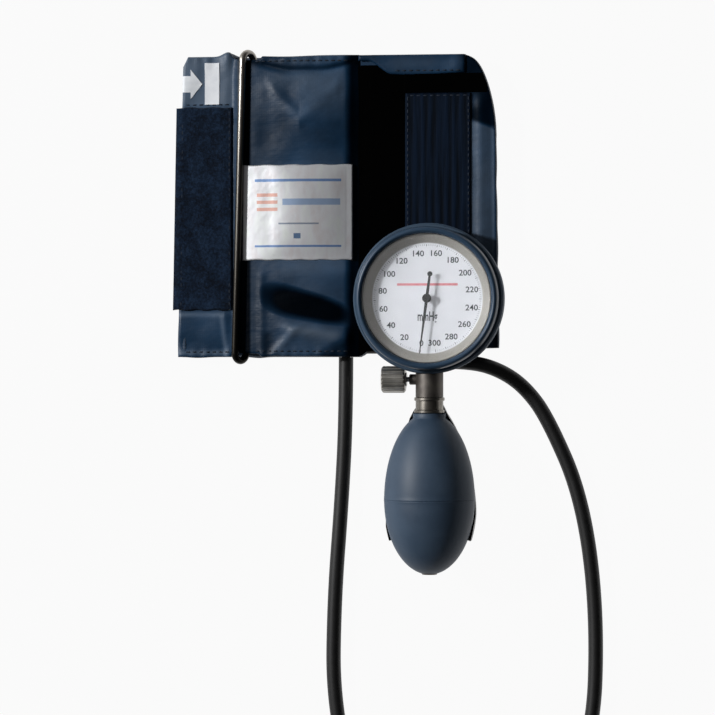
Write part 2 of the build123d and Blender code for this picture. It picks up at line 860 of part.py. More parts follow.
def lower_plate():
    """Round base plate of the movement with two ears for the rocking shaft."""
    top = lower_plate_z + plate_thick
    plate = rod_z(lower_plate_r, lower_plate_z, top)
    plate -= rod_z(pin_r + 0.5, lower_plate_z, top, (pin_x, arm_y))
    plate -= rod_z(arbor_r - 0.1 + fit_gap, lower_plate_z, top)
    plate -= rod_z(staff_r - 0.15 + fit_gap, lower_plate_z, top, (0, centre_distance))
    for side in (-1, 1):
        slot = extrude(SlotOverall(plate_slot_long, plate_slot_wide, rotation=90), plate_thick)
        slot = Pos(side * (lower_plate_r - plate_slot_inset), 0, lower_plate_z) * slot
        plate -= slot
    half = air_block_half + layer_gap
    plate -= block(-half, half, -lower_plate_r - 1, -air_block_inner + layer_gap, lower_plate_z, top)
    for y in ear_places:
        ear = block(shaft_x - 1.2, shaft_x + 1.2, y - ear_width / 2, y + ear_width / 2, top - 0.1, shaft_z)
        ear_round = Plane((shaft_x, y - ear_width / 2, shaft_z), z_dir=(0, 1, 0))
        ear += extrude(ear_round * Circle(1.2), ear_width)
        plate += ear - extrude(ear_round * Circle(shaft_r + fit_gap), ear_width)
    for angle in post_angles:
        place = (post_ring_r * cos(radians(angle)), post_ring_r * sin(radians(angle)))
        plate -= rod_z(screw_r + fit_gap, lower_plate_z, top, place)
    return in_gauge(plate)


def upper_plate():
    """Three-cornered top plate with the bearings of arbor and staff."""
    half, back, front = upper_plate_half, upper_plate_back, upper_plate_front
    outline = face_of([(-half, back), (half, back), (3.5, front), (-3.5, front)])
    outline = fillet(outline.vertices(), 3.0)
    plate = Pos(0, 0, upper_plate_z) * extrude(outline, upper_plate_thick)
    top = upper_plate_z + upper_plate_thick
    plate -= rod_z(arbor_r + fit_gap, upper_plate_z, top)
    plate -= rod_z(staff_r - 0.15 + fit_gap, upper_plate_z, top, (0, centre_distance))
    for place in dial_feet:
        plate -= rod_z(screw_r + fit_gap, upper_plate_z, top, place)
    for place in pillars:
        plate -= rod_z(screw_r + fit_gap, upper_plate_z, top, place)
    return in_gauge(plate)


def plate_pillars():
    """Three turned pillars that hold the plates apart."""
    low, high = lower_plate_z + plate_thick, upper_plate_z
    solids = []
    for place in pillars:
        pillar = rod_z(pillar_r, low, high, place)
        pillar -= rod_z(screw_r + fit_gap, high - 3, high, place)
        solids.append(in_gauge(pillar))
    return Compound(children=solids)


def small_screw(head_low, depth, place):
    """A cheese-head screw that points down."""
    profile = [
        (0, head_low - depth),
        (screw_r, head_low - depth),
        (screw_r, head_low),
        (screw_head_r, head_low),
        (screw_head_r, head_low + screw_head),
        (0, head_low + screw_head),
    ]
    return in_gauge(turned_z(profile, place))


def pillar_screws():
    """Three screws that hold the upper plate on its pillars."""
    top = upper_plate_z + upper_plate_thick + 0.02
    return Compound(children=[small_screw(top, upper_plate_thick + 2.5, place) for place in pillars])


def movement_screws():
    """Three screws that hold the movement on the posts of the case."""
    top = lower_plate_z + plate_thick + 0.02
    solids = []
    for angle in post_angles:
        place = (post_ring_r * cos(radians(angle)), post_ring_r * sin(radians(angle)))
        solids.append(small_screw(top, plate_thick + 3.5, place))
    return Compound(children=solids)


def hairspring():
    """Flat spiral strip of quarter turns round the collet, with its stud under the upper plate."""
    quarters = 4 * spring_turns
    growth = (spring_outer - spring_inner) / quarters

    def side(shift):
        edges = []
        radius = spring_inner + shift
        centre = Vector(0, 0)
        start = Vector(radius, 0)
        for index in range(quarters):
            angle = radians(90 * index)
            middle_angle = angle + pi / 4
            middle = centre + Vector(radius * cos(middle_angle), radius * sin(middle_angle))
            end = centre + Vector(radius * cos(angle + pi / 2), radius * sin(angle + pi / 2))
            edges.append(ThreePointArc(start, middle, end))
            outward = (end - centre).normalized()
            centre = centre - outward * growth
            radius += growth
            start = end
        return edges

    inner, outer = side(-spring_wire / 2), side(spring_wire / 2)
    caps = [Line(inner[0] @ 0, outer[0] @ 0), Line(inner[-1] @ 1, outer[-1] @ 1)]
    strip = extrude(make_face(Wire([*inner, *outer, *caps])), spring_height)
    strip = Pos(0, 0, spring_z) * strip
    end = (inner[-1] @ 1 + outer[-1] @ 1) / 2
    stud = rod_z(0.45, spring_z - 0.05, upper_plate_z - 0.02, (end.X, end.Y))
    return in_gauge(strip + stud)


valve_start = gauge_y - valve_face


def valve_body():
    """Turned brass body: stem into the case, round body, spigot for bands and bulb, side bore."""
    profile = [
        (air_bore_r, stem_end),
        (stem_r - 0.4, stem_end),
        (stem_r, stem_end - 0.4),
        (stem_r, valve_start - seat_gap),
        (valve_r, valve_start - seat_gap),
        (valve_r, valve_end),
        (spigot_r, valve_end),
        (spigot_r, band_end),
        (neck_spigot_r, band_end),
        (neck_spigot_r, neck_spigot_end),
        (chamber_r, neck_spigot_end),
        (chamber_r, chamber_top),
        (air_bore_r, chamber_top),
    ]
    body = turned_y(profile)
    boss_low = unit_z - spoon_tab_r + 0.05
    place = (unit_x, spoon_screw_y)
    tab_side = turned_y([(0, valve_end), (spoon_tab_r - seat_gap, valve_end), (spoon_tab_r - seat_gap, stem_end), (0, stem_end)])
    body += rod_z(spoon_boss_r, boss_low, unit_z - valve_r + 0.8, place) & tab_side
    body -= rod_z(spoon_screw_r + fit_gap, boss_low, boss_low + spoon_screw_depth - 1.0, place)
    side_plane = Plane((unit_x, release_y, unit_z), z_dir=(-1, 0, 0))
    body -= extrude(side_plane * Circle(release_bore_r), valve_r + 1)
    nut_plane = Plane((unit_x - valve_r + nut_in, release_y, unit_z), z_dir=(-1, 0, 0))
    body -= extrude(nut_plane * Circle(nut_r + fit_gap), nut_in + 1)
    down = Plane((unit_x, elbow_y, unit_z), z_dir=(0, 0, -1)) * Circle(barb_bore_r)
    return body - extrude(down, stem_r + 1)


def band_collar():
    """Chrome collar between valve body and bulb, with a raised band at each end."""
    inner = spigot_r + band_inner_gap
    high, low = valve_end - seat_gap, band_end + seat_gap
    ease = 0.35
    profile = [
        (inner, high),
        (band_r - ease, high),
        (band_r, high - ease),
        (band_r, high - band_width + ease),
        (band_r - ease, high - band_width),
        (band_waist_r, high - band_width),
        (band_waist_r, low + band_width),
        (band_r - ease, low + band_width),
        (band_r, low + band_width - ease),
        (band_r, low + ease),
        (band_r - ease, low),
        (inner, low),
    ]
    return turned_y(profile)


def outlet_seat():
    """Ring pressed into the spigot's end: the outlet valve's seat."""
    low, high = neck_spigot_end + 0.1, neck_spigot_end + seat_depth
    return turned_y([(1.2, low), (chamber_r - 0.02, low), (chamber_r - 0.02, high), (1.2, high)])


def outlet_disc():
    """Rubber disc that lifts when the bulb is squeezed and shuts when it lets go."""
    low = neck_spigot_end + seat_depth + seat_gap
    high = low + disc_thick
    return turned_y([(0, low), (disc_r, low), (disc_r, high), (0, high)])


body_side = unit_x - valve_r
knob_face = body_side - nut_out - knob_gap


def gland_nut():
    """Small nut round the release spindle."""
    inner = spindle_r + fit_gap
    a, b = body_side - nut_out, body_side + nut_in - seat_gap
    profile = [(a, inner), (a, nut_r - 0.3), (a + 0.3, nut_r), (b, nut_r), (b, inner)]
    return turned_x(profile)


def spindle_seal():
    """Rubber ring inside the nut's end of the side bore."""
    inner = spindle_r + 0.02
    a = body_side + nut_in + 0.0
    return turned_x([(a, inner), (a, release_bore_r - 0.01), (a + 0.6, release_bore_r - 0.01), (a + 0.6, inner)])


def valve_spindle():
    """Screwed spindle with a needle point that shuts the side bore."""
    start = knob_face - spindle_in_knob
    point = unit_x - air_bore_r - 0.1
    shoulder = point - needle_reach
    profile = [(start, 0), (start, spindle_r), (shoulder, spindle_r), (point, 0.35), (point, 0)]
    return turned_x(profile)


def release_knob():
    """Fluted thumb knob with bevelled ends and a shallow dish in its face."""
    a, b = knob_face - knob_length, knob_face
    bevel = 0.7
    profile = [
        (a + 0.5, 0),
        (a + 0.5, knob_r - 2.4),
        (a, knob_r - 2.0),
        (a, knob_r - bevel),
        (a + bevel, knob_r),
        (b - bevel, knob_r),
        (b, knob_r - bevel),
        (b, 3.2),
        (b + 0.6, 3.2),
        (b + 0.6, spindle_r + fit_gap),
        (knob_face - spindle_in_knob - 2 * fit_gap, spindle_r + fit_gap),
        (knob_face - spindle_in_knob - 2 * fit_gap, 0),
    ]
    knob = turned_x(profile)
    for index in range(knob_flutes):
        angle = 2 * pi * index / knob_flutes
        centre = (a, release_y + knob_r * cos(angle), unit_z + knob_r * sin(angle))
        flute = Plane(centre, z_dir=(1, 0, 0)) * Circle(flute_r)
        knob -= extrude(flute, knob_length)
    return knob


def bulb_side(grow, neck):
    """The bulb's side as two smooth halves that meet at the seam, grown outwards by a step.

    Each half follows a quarter of an ellipse: the upper one up to the neck's radius, the lower one
    down to the axis.
    """
    wide, upper, lower = bulb_r + grow, bulb_upper + grow, bulb_lower + grow
    stop = acos(neck / wide)
    steps = 6
    above = [stop * index / steps for index in range(steps + 1)]
    below = [pi / 2 * (index / steps - 1) for index in range(steps + 1)]
    above_side = Spline(
        *[(wide * cos(t), seam_y + upper * sin(t)) for t in above],
        tangents=[(0, 1), (-wide * sin(stop), upper * cos(stop))],
    )
    below_side = Spline(
        *[(wide * cos(t), seam_y + lower * sin(t)) for t in below], tangents=[(1, 0), (0, 1)]
    )
    return above_side, below_side


def bulb():
    """Hollow rubber bulb with a short neck and an inner collar for the inlet valve."""
    above, below = bulb_side(0, neck_r)
    neck_high = band_end - seat_gap
    inner_neck = neck_spigot_r + 0.1
    outer = make_face(
        Wire(
            [
                below,
                above,
                Line(above @ 1, (neck_r, neck_high)),
                Line((neck_r, neck_high), (0, neck_high)),
                Line((0, neck_high), below @ 0),
            ]
        )
    )
    in_above, in_below = bulb_side(-bulb_wall, inner_neck)
    hollow = make_face(
        Wire(
            [
                in_below,
                in_above,
                Line(in_above @ 1, (inner_neck, neck_high)),
                Line((inner_neck, neck_high), (0, neck_high)),
                Line((0, neck_high), in_below @ 0),
            ]
        )
    )
    wall = Pos(unit_x, 0, unit_z) * (revolve(outer, Axis.Y) - revolve(hollow, Axis.Y))
    low, high = inlet_end + 3, collar_end
    wall += turned_y([(0, low), (collar_r, low), (collar_r, high), (0, high)])
    return wall - turned_y([(0, low - 4), (inlet_r, low - 4), (inlet_r, high + 1), (0, high + 1)])


def inlet_valve():
    """Turned plug in the bulb's end with a ball room and a cage hole."""
    radius = inlet_r - fit_gap
    room_low = inlet_end + 3.3
    room_high = room_low + ball_room
    profile = [
        (inlet_hole_r, inlet_end),
        (radius - 0.6, inlet_end),
        (radius, inlet_end + 0.8),
        (radius, collar_end),
        (1.1, collar_end),
        (1.1, room_high),
        (ball_room_r, room_high),
        (ball_room_r, room_low),
        (inlet_hole_r, room_low),
    ]
    return turned_y(profile)


ball_y = inlet_end + 3.3 + (ball_r**2 - inlet_hole_r**2) ** 0.5 + fit_gap


def inlet_ball():
    """Steel ball that shuts the inlet hole while the bulb is squeezed."""
    return Pos(unit_x, ball_y, unit_z) * Sphere(ball_r)


def spoon_side_body(above, below, tab_r):
    """The solid inside one side of the spoon's shell, up to the tab's start."""
    edges = [
        below,
        above,
        Line(above @ 1, (tab_r, spoon_tab_start)),
        Line((tab_r, spoon_tab_start), (0, spoon_tab_start)),
        Line((0, spoon_tab_start), below @ 0),
    ]
    return Pos(unit_x, 0, unit_z) * revolve(make_face(Wire(edges)), Axis.Y)


def spoon():
    """Black palm spoon: a leaf cut from a shell that follows the bulb, with a tab under the valve."""
    inner_above, inner_below = bulb_side(spoon_gap, spoon_tab_r)
    outer_r = spoon_tab_r + spoon_thick
    outer_above, outer_below = bulb_side(spoon_gap + spoon_thick, outer_r)
    shell_solid = spoon_side_body(outer_above, outer_below, outer_r)
    shell_solid -= spoon_side_body(inner_above, inner_below, spoon_tab_r)
    wide, tab, end = spoon_widest, spoon_tab_half, spoon_end
    edges = [
        Line((-tab, spoon_tab_start + 1), (tab, spoon_tab_start + 1)),
        Line((tab, spoon_tab_start + 1), (tab, spoon_tab_end)),
        ThreePointArc((tab, spoon_tab_end), spoon_swell, wide),
        ThreePointArc(wide, spoon_side, end),
        Line(end, (-end[0], end[1])),
        ThreePointArc((-end[0], end[1]), (-spoon_side[0], spoon_side[1]), (-wide[0], wide[1])),
        ThreePointArc((-wide[0], wide[1]), (-spoon_swell[0], spoon_swell[1]), (-tab, spoon_tab_end)),
        Line((-tab, spoon_tab_end), (-tab, spoon_tab_start + 1)),
    ]
    leaf = Pos(unit_x, 0, -1) * extrude(make_face(Wire(edges)), unit_z)
    plate = shell_solid & leaf
    low = unit_z - spoon_tab_r - spoon_thick - 1
    low_y, high_y, room = band_end - 2.5, band_end + 0.3, neck_r + 0.15
    plate -= turned_y([(0, low_y), (room, low_y), (room, high_y), (0, high_y)])
    return plate - rod_z(spoon_screw_r + fit_gap, low, unit_z, (unit_x, spoon_screw_y))


def spoon_screw():
    """Pan-head screw from below, through the spoon's tab into the valve body."""
    seat = unit_z - spoon_tab_r - spoon_thick - seat_gap
    top = seat + spoon_thick + spoon_screw_depth - 1.4
    profile = [
        (0, seat - spoon_screw_head),
        (spoon_screw_head_r - 0.5, seat - spoon_screw_head),
        (spoon_screw_head_r, seat - spoon_screw_head + 0.6),
        (spoon_screw_head_r, seat),
        (spoon_screw_r, seat),
        (spoon_screw_r, top),
        (0, top),
    ]
    return turned_z(profile, (unit_x, spoon_screw_y))


def hose_barb():
    """Metal elbow from the air block down and out to the hose, with a barbed tail."""
    corner = (unit_x, elbow_y, elbow_z)
    path = FilletPolyline(
        (unit_x, elbow_y, elbow_top - seat_gap), corner, (elbow_shoulder_x, elbow_y, elbow_z), radius=elbow_bend
    )
    start = Plane(path @ 0, z_dir=path % 0)
    elbow = sweep(start * Circle(elbow_r), path=path)
    bore = sweep(start * Circle(barb_bore_r), path=path)
    step = barb_length / barb_count
    x = elbow_shoulder_x - 0.1
    profile = [(x, barb_bore_r), (x, barb_root_r)]
    for index in range(barb_count):
        near = elbow_shoulder_x + index * step
        profile += [(near + 0.4, barb_root_r), (near + 0.4, barb_r), (near + step, barb_root_r)]
    profile.append((elbow_shoulder_x + barb_length, barb_bore_r))
    tail = Pos(0, elbow_y, elbow_z) * revolve(face_of(profile), Axis.X)
    return elbow - bore + tail


hose_points = [
    (hose_x, cuff_bottom - seat_gap, hose_z),
    (hose_x - 0.1, -52.0, hose_z),
    (-0.1, -91.0, hose_z),
    (-3.6, -137.0, hose_z),
    (-4.3, -187.0, hose_z),
    (8.0, -238.0, hose_z),
    (48.0, -274.5, hose_z),
    (93.0, -259.0, hose_z),
    (119.5, -207.0, hose_z),
    (121.8, -143.0, hose_z),
    (114.6, -88.0, hose_z),
    (98.0, -50.0, hose_z + 0.3),
    (87.5, -36.0, hose_z + 1.5),
    (76.5, -28.2, elbow_z - 1.4),
    (63.0, elbow_y, elbow_z),
    (elbow_shoulder_x + seat_gap, elbow_y, elbow_z),
]


def route_radii(points):
    """The largest arc that each corner's two runs allow, with a little straight left between arcs."""
    radii = []
    for before, corner, after in zip(points, points[1:], points[2:]):
        first = Vector(*corner) - Vector(*before)
        second = Vector(*after) - Vector(*corner)
        turn = radians(first.get_angle(second))
        radii.append(0.45 * min(first.length, second.length) / tan(turn / 2))
    return radii


def hose():
    """Rubber hose from the cuff's nipple round to the elbow, as runs joined by tangent arcs."""
    radii = route_radii(hose_points)
    path = FilletPolyline(*hose_points, radius=radii)
    start = Plane(path @ 0, z_dir=path % 0)
    outside = sweep(start * Circle(hose_r), path=path)
    inside = sweep(start * Circle(hose_bore_r), path=path)
    tube = outside - inside
    section = pi * (hose_r**2 - hose_bore_r**2)
    print("hose length", round(path.length, 1), "volume", round(tube.volume))
    print("section times length", round(section * path.length))
    print("hose radii", [round(r) for r in radii])
    return tube


MODEL = {
    "cuff_sleeve": cuff_sleeve,
    "bladder": bladder,
    "label_patch": label_patch,
    "ring_bar": ring_bar,
    "hose": hose,
    "hose_barb": hose_barb,
    "gauge_case": gauge_case,
    "case_guard": case_guard,
    "bezel_ring": bezel_ring,
    "lens": lens,
    "lens_gasket": lens_gasket,
    "dial": dial,
    "pointer": pointer,
    "pinion_arbor": pinion_arbor,
    "sector_gear": sector_gear,
    "rocking_shaft": rocking_shaft,
    "push_pin": push_pin,
    "capsule": capsule,
    "capsule_stud": capsule_stud,
    "feed_pipe": feed_pipe,
    "lower_plate": lower_plate,
    "upper_plate": upper_plate,
    "plate_pillars": plate_pillars,
    "pillar_screws": pillar_screws,
    "movement_screws": movement_screws,
    "hairspring": hairspring,
    "valve_body": valve_body,
    "band_collar": band_collar,
    "outlet_seat": outlet_seat,
    "outlet_disc": outlet_disc,
    "gland_nut": gland_nut,
    "spindle_seal": spindle_seal,
    "valve_spindle": valve_spindle,
    "release_knob": release_knob,
    "bulb": bulb,
    "inlet_valve": inlet_valve,
    "inlet_ball": inlet_ball,
    "spoon": spoon,
    "spoon_screw": spoon_screw,
}

write(pad(loop_left, loop_right, loop_low, loop_high, strip_high, loop_thick, 0.5), "loop_pad")
write(pad(hook_left, hook_right, hook_low, hook_high, panel_high, hook_thick, 0.8), "hook_pad")
for node, make in MODEL.items():
    write(make(), node)
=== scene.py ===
# %% [markdown]
# # A palm aneroid sphygmomanometer
# The real object is a clinic's blood pressure set: a folded nylon arm cuff with a metal ring, a round
# gauge that sits on a valve and a rubber bulb, and one hose between them. The solids come from the CAD
# model. This file gives each piece its finish, and swaps the soft and finely finished pieces for
# smoother surfaces worked out with numpy. Everything is in metres in the CAD model's own frame.

import bmesh
import bpy
import numpy as np
from mathutils import Matrix, Vector


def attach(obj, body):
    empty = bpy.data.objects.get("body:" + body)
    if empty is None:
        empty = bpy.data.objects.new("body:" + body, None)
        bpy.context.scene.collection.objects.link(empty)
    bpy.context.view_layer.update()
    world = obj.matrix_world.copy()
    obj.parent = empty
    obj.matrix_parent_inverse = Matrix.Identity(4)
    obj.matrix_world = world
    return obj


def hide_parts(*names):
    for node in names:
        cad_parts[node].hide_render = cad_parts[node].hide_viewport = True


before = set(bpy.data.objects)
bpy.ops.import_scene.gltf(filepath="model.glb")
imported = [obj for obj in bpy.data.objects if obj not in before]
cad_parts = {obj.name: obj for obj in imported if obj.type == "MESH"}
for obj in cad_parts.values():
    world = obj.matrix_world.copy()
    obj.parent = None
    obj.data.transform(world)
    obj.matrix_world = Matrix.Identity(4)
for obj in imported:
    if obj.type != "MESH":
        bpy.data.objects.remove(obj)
scene = bpy.context.scene
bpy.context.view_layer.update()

# %% [markdown]
# Lengths are easier to read in millimetres, so `mm` turns them to metres. The helpers join a grid of points
# into faces, turn a profile about an axis and ease its corners, all on whole arrays. A closed shell has its
# doubles merged and its faces turned outwards, because a grid that is wrapped the wrong way round would be
# inside out.

# %% Units and mesh helpers
mm = 0.001
ROOT = "cuff_and_unit"
same_place, too_thin = 2e-6, 1e-6  # metres: points this close are one, and thinner faces are dropped


def points_of(mesh):
    """A mesh's points as rows of x, y and z, in metres."""
    spots = np.empty(len(mesh.vertices) * 3)
    mesh.vertices.foreach_get("co", spots)
    return spots.reshape(-1, 3)


def placed(name, data):
    """A new object with this data, linked to the scene."""
    thing = bpy.data.objects.new(name, data)
    scene.collection.objects.link(thing)
    return thing


def finish_mesh(
    name, points, faces, material, body=ROOT, sharp=40, stands_for=(), slot=None, uv=None, shade=None
):
    """A mesh object from points in millimetres, with doubles merged and faces turned outwards. `shade` is a
    function of x and y, kept as a number at each point, which the nylon finish reads to paint light and
    shade."""
    mesh = bpy.data.meshes.new(name)
    mesh.from_pydata((np.asarray(points, float).reshape(-1, 3) * mm).tolist(), [], faces.tolist())
    if uv is not None:
        layer = mesh.uv_layers.new(name="flat")
        corner = np.asarray(faces).reshape(-1)
        layer.data.foreach_set("uv", (np.asarray(uv).reshape(-1, 2)[corner]).astype(np.float32).ravel())
    work = bmesh.new()
    work.from_mesh(mesh)
    bmesh.ops.remove_doubles(work, verts=work.verts, dist=same_place)
    bmesh.ops.dissolve_degenerate(work, edges=work.edges, dist=too_thin)
    bmesh.ops.recalc_face_normals(work, faces=work.faces)
    work.to_mesh(mesh)
    work.free()
    if shade is not None:
        x, y, _ = points_of(mesh).T / mm
        tone = mesh.attributes.new("shade", "FLOAT", "POINT")
        tone.data.foreach_set("value", np.asarray(shade(x, y), np.float32))
    mesh.shade_smooth()
    if sharp:
        mesh.set_sharp_from_angle(angle=np.radians(sharp))
    mesh.materials.append(material)
    thing = placed(name, mesh)
    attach(thing, body)
    if stands_for:
        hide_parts(*stands_for)
    return thing


def grid_faces(rows, columns, wrap_rows=False, wrap_columns=False, start=0):
    """Quads between neighbours of a grid; a wrapped side also joins its last line to its first."""
    r = np.arange(rows if wrap_rows else rows - 1)
    c = np.arange(columns if wrap_columns else columns - 1)
    r, c = np.meshgrid(r, c, indexing="ij")
    r1, c1 = (r + 1) % rows, (c + 1) % columns
    quads = [r * columns + c, r1 * columns + c, r1 * columns + c1, r * columns + c1]
    return start + np.stack(quads, -1).reshape(-1, 4)


def pad_faces(rows, columns):
    """Faces of a closed pad: a grid, the same grid under it turned over, and the wall round both."""
    index = np.arange(rows * columns).reshape(rows, columns)
    rim = np.concatenate([index[0], index[1:, -1], index[-1, -2::-1], index[-2:0:-1, 0]])
    after = np.roll(rim, -1)
    wall = np.stack([rim, after, after + index.size, rim + index.size], -1)
    under = grid_faces(rows, columns, start=index.size)[:, ::-1]
    return np.concatenate([grid_faces(rows, columns), under, wall])


def lathe(name, profile, centre, axis, material, turns=128, **facts):
    """A profile of (radius, height) turned about an axis, here z: x = r cos a, y = r sin a, z = height."""
    profile = np.asarray(profile, float)
    angle = np.linspace(0, 2 * np.pi, turns, endpoint=False)
    radius, height = profile[:, 0][:, None], profile[:, 1][:, None]
    across, up = radius * np.cos(angle), radius * np.sin(angle)
    along = height + 0 * angle
    order = {"z": (across, up, along), "y": (across, along, up)}[axis]
    points = np.stack(order, -1) + np.asarray(centre, float)
    faces = grid_faces(len(profile), turns, wrap_rows=True, wrap_columns=True)
    return finish_mesh(name, points, faces, material, **facts)


def rounded(corners, radii, steps=5):
    """A closed profile with its corners eased: each corner becomes a quarter-like curve of given reach."""
    corners = np.asarray(corners, float)
    out = []
    for index, corner in enumerate(corners):
        reach = radii[index] if hasattr(radii, "__len__") else radii
        before, after = corners[index - 1] - corner, corners[(index + 1) % len(corners)] - corner
        long_a, long_b = np.hypot(*before), np.hypot(*after)
        reach = min(reach, long_a * 0.48, long_b * 0.48)
        if reach < 1e-3:
            out.append(corner[None])
            continue
        a, b = corner + before / long_a * reach, corner + after / long_b * reach
        t = np.linspace(0, 1, steps)[:, None]
        out.append((1 - t) ** 2 * a + 2 * t * (1 - t) * corner + t**2 * b)
    return np.concatenate(out)


# %% [markdown]
# Colours are picked as sRGB hex values, the way a paint chart gives them, and turned to linear light.
# `add` puts one node in a material with its settings and links, so each material reads as a short list.

# %% Material helpers
def colour(code):
    """Linear RGBA of an sRGB hex value."""
    parts = np.array([int(code[i : i + 2], 16) / 255 for i in (1, 3, 5)])
    linear = np.where(parts <= 0.04045, parts / 12.92, ((parts + 0.055) / 1.055) ** 2.4)
    return (*linear.tolist(), 1.0)


def add(tree, kind, settings=None, **inputs):
    """Adds one node; settings are its own properties, and inputs are values or other nodes' outputs."""
    node = tree.nodes.new(kind)
    for key, value in (settings or {}).items():
        setattr(node, key, value)
    for key, value in inputs.items():
        numbered = key[0] == "i" and key[1:].isdigit()
        socket = node.inputs[int(key[1:]) if numbered else key.replace("_", " ")]
        if isinstance(value, bpy.types.NodeSocket):
            tree.links.new(value, socket)
        else:
            socket.default_value = value
    return node


def maths(tree, operation, *values):
    """One calculation on two or three numbers, each a plain value or another node's output."""
    terms = {f"i{k}": value for k, value in enumerate(values)}
    return add(tree, "ShaderNodeMath", {"operation": operation}, **terms).outputs[0]


def scaled(tree, value, low, high, start_at=0.0, end_at=1.0):
    """Maps a value from start_at..end_at to low..high, and holds it at both ends."""
    ends = {"From_Min": start_at, "From_Max": end_at, "To_Min": low, "To_Max": high}
    return add(tree, "ShaderNodeMapRange", Value=value, **ends).outputs["Result"]


def blend(tree, factor, below, above):
    """Mixes two colours by a factor."""
    return add(tree, "ShaderNodeMix", {"data_type": "RGBA"}, Factor=factor, i6=below, i7=above).outputs[2]


def join(tree, shader, **outputs):
    """Links other nodes' outputs to a shader's named inputs."""
    for key, output in outputs.items():
        tree.links.new(output, shader.inputs[key.replace("_", " ")])


def start(name, **values):
    """A new material with a Principled shader, whose plain values are set on its own sockets."""
    material = bpy.data.materials.new(name)
    material.use_nodes = True
    tree = material.node_tree
    shader = tree.nodes["Principled BSDF"]
    for key, value in values.items():
        shader.inputs[key.replace("_", " ")].default_value = value
    return material, tree, shader


def ramp(tree, factor, stops):
    """A colour ramp from (position, hex colour) stops."""
    node = add(tree, "ShaderNodeValToRGB", Fac=factor)
    points = node.color_ramp.elements
    for point, (position, code) in zip(points, (stops[0], stops[-1])):
        point.position, point.color = position, colour(code)
    for position, code in stops[1:-1]:
        points.new(position).color = colour(code)
    return node.outputs["Color"]


def places(tree, scale=(1, 1, 1)):
    """Coordinates on the piece, scaled; the piece's object sits at the origin, so they are metres."""
    source = add(tree, "ShaderNodeTexCoord").outputs["Object"]
    return add(tree, "ShaderNodeMapping", Vector=source, Scale=scale).outputs["Vector"]


def noise(tree, where, scale, detail=3.0, roughness=0.55):
    """Cloudy noise of a scale given in waves per metre."""
    settings = {"Vector": where, "Scale": scale, "Detail": detail, "Roughness": roughness}
    return add(tree, "ShaderNodeTexNoise", **settings).outputs["Fac"]


def bump(tree, shader, height, strength, depth):
    """Bumps the shader's normal by a height pattern; depth is in metres."""
    node = add(tree, "ShaderNodeBump", Strength=strength, Distance=depth, Height=height)
    join(tree, shader, Normal=node.outputs["Normal"])


def mottled(name, dark, light, wave, rough=(0.4, 0.55), grain=None, **values):
    """A finish whose colour and roughness drift a little; grain is (waves per metre, depth in metres)."""
    material, tree, shader = start(name, **values)
    where = places(tree)
    cloud = noise(tree, where, wave)
    tones = ramp(tree, cloud, [(0.3, dark), (0.7, light)])
    join(tree, shader, Base_Color=tones, Roughness=scaled(tree, cloud, *rough))
    if grain:
        bump(tree, shader, noise(tree, where, grain[0], 2.0), 0.5, grain[1])
    return material


# %% [markdown]
# ## Camera, floor and light
# The photograph is a packshot from straight above. The camera stands 1.5 m over the table and leans seven
# degrees, which shows a little of the gauge's right side. It is set up before anything else, because the
# hose runs out of the picture and its unseen part must stay small.

# %% Camera
aim = Vector((7.1, -22.0, 0.0)) * mm
lean = np.radians(7.0)
distance = 1.5
view_width = 0.3418  # metres of table across the picture
camera_data = bpy.data.cameras.new("camera")
camera = placed("camera", camera_data)
camera.location = aim + Vector((np.sin(lean), 0, np.cos(lean))) * distance
camera.rotation_euler = (0, lean, 0)
camera_data.sensor_fit = "HORIZONTAL"
camera_data.sensor_width = 36.0
camera_data.lens = camera_data.sensor_width * distance / view_width
camera_data.clip_start = 0.05
scene.camera = camera

# %% [markdown]
# The backdrop in a packshot burns out to white. Here the floor's own colour does that for the camera and
# for reflections, and its plain side keeps a soft shadow of the object.

# %% Floor, world and lamps
scene.view_settings.view_transform = "Standard"
floor_material, tree, shader = start("floor_paper", Base_Color=(0.18, 0.18, 0.18, 1), Roughness=0.9)


def sees_white(tree, whiteness):
    """`whiteness` for a ray from the camera, and for one that came by metal or glass alone; 0 for light that
    has bounced off a dull surface, which must see the studio as it is."""
    path = add(tree, "ShaderNodeLightPath").outputs
    shiny = maths(tree, "MAXIMUM", path["Is Glossy Ray"], path["Is Transmission Ray"])
    shiny = maths(tree, "MULTIPLY", shiny, maths(tree, "LESS_THAN", path["Diffuse Depth"], 0.5))
    return maths(tree, "MULTIPLY", maths(tree, "MAXIMUM", path["Is Camera Ray"], shiny), whiteness)


seen = sees_white(tree, 0.95)
white = add(tree, "ShaderNodeEmission", Color=(1, 1, 1, 1), Strength=1.0)
mixed = add(tree, "ShaderNodeMixShader", Fac=seen, i1=shader.outputs[0], i2=white.outputs[0])
join(tree, tree.nodes["Material Output"], Surface=mixed.outputs[0])
floor_mesh = bpy.data.meshes.new("floor")
side = 6.0
floor_corners = [(-side, -side, 0), (side, -side, 0), (side, side, 0), (-side, side, 0)]
floor_mesh.from_pydata(floor_corners, [], [(0, 1, 2, 3)])
floor_mesh.materials.append(floor_material)
placed("floor", floor_mesh)

world = bpy.data.worlds.new("studio")
scene.world = world
world.use_nodes = True
tree = world.node_tree
path = add(tree, "ShaderNodeLightPath").outputs
unbounced = maths(tree, "LESS_THAN", path["Diffuse Depth"], 0.5)
through = maths(tree, "MULTIPLY", path["Is Transmission Ray"], unbounced)
shown = maths(tree, "MAXIMUM", path["Is Camera Ray"], through)
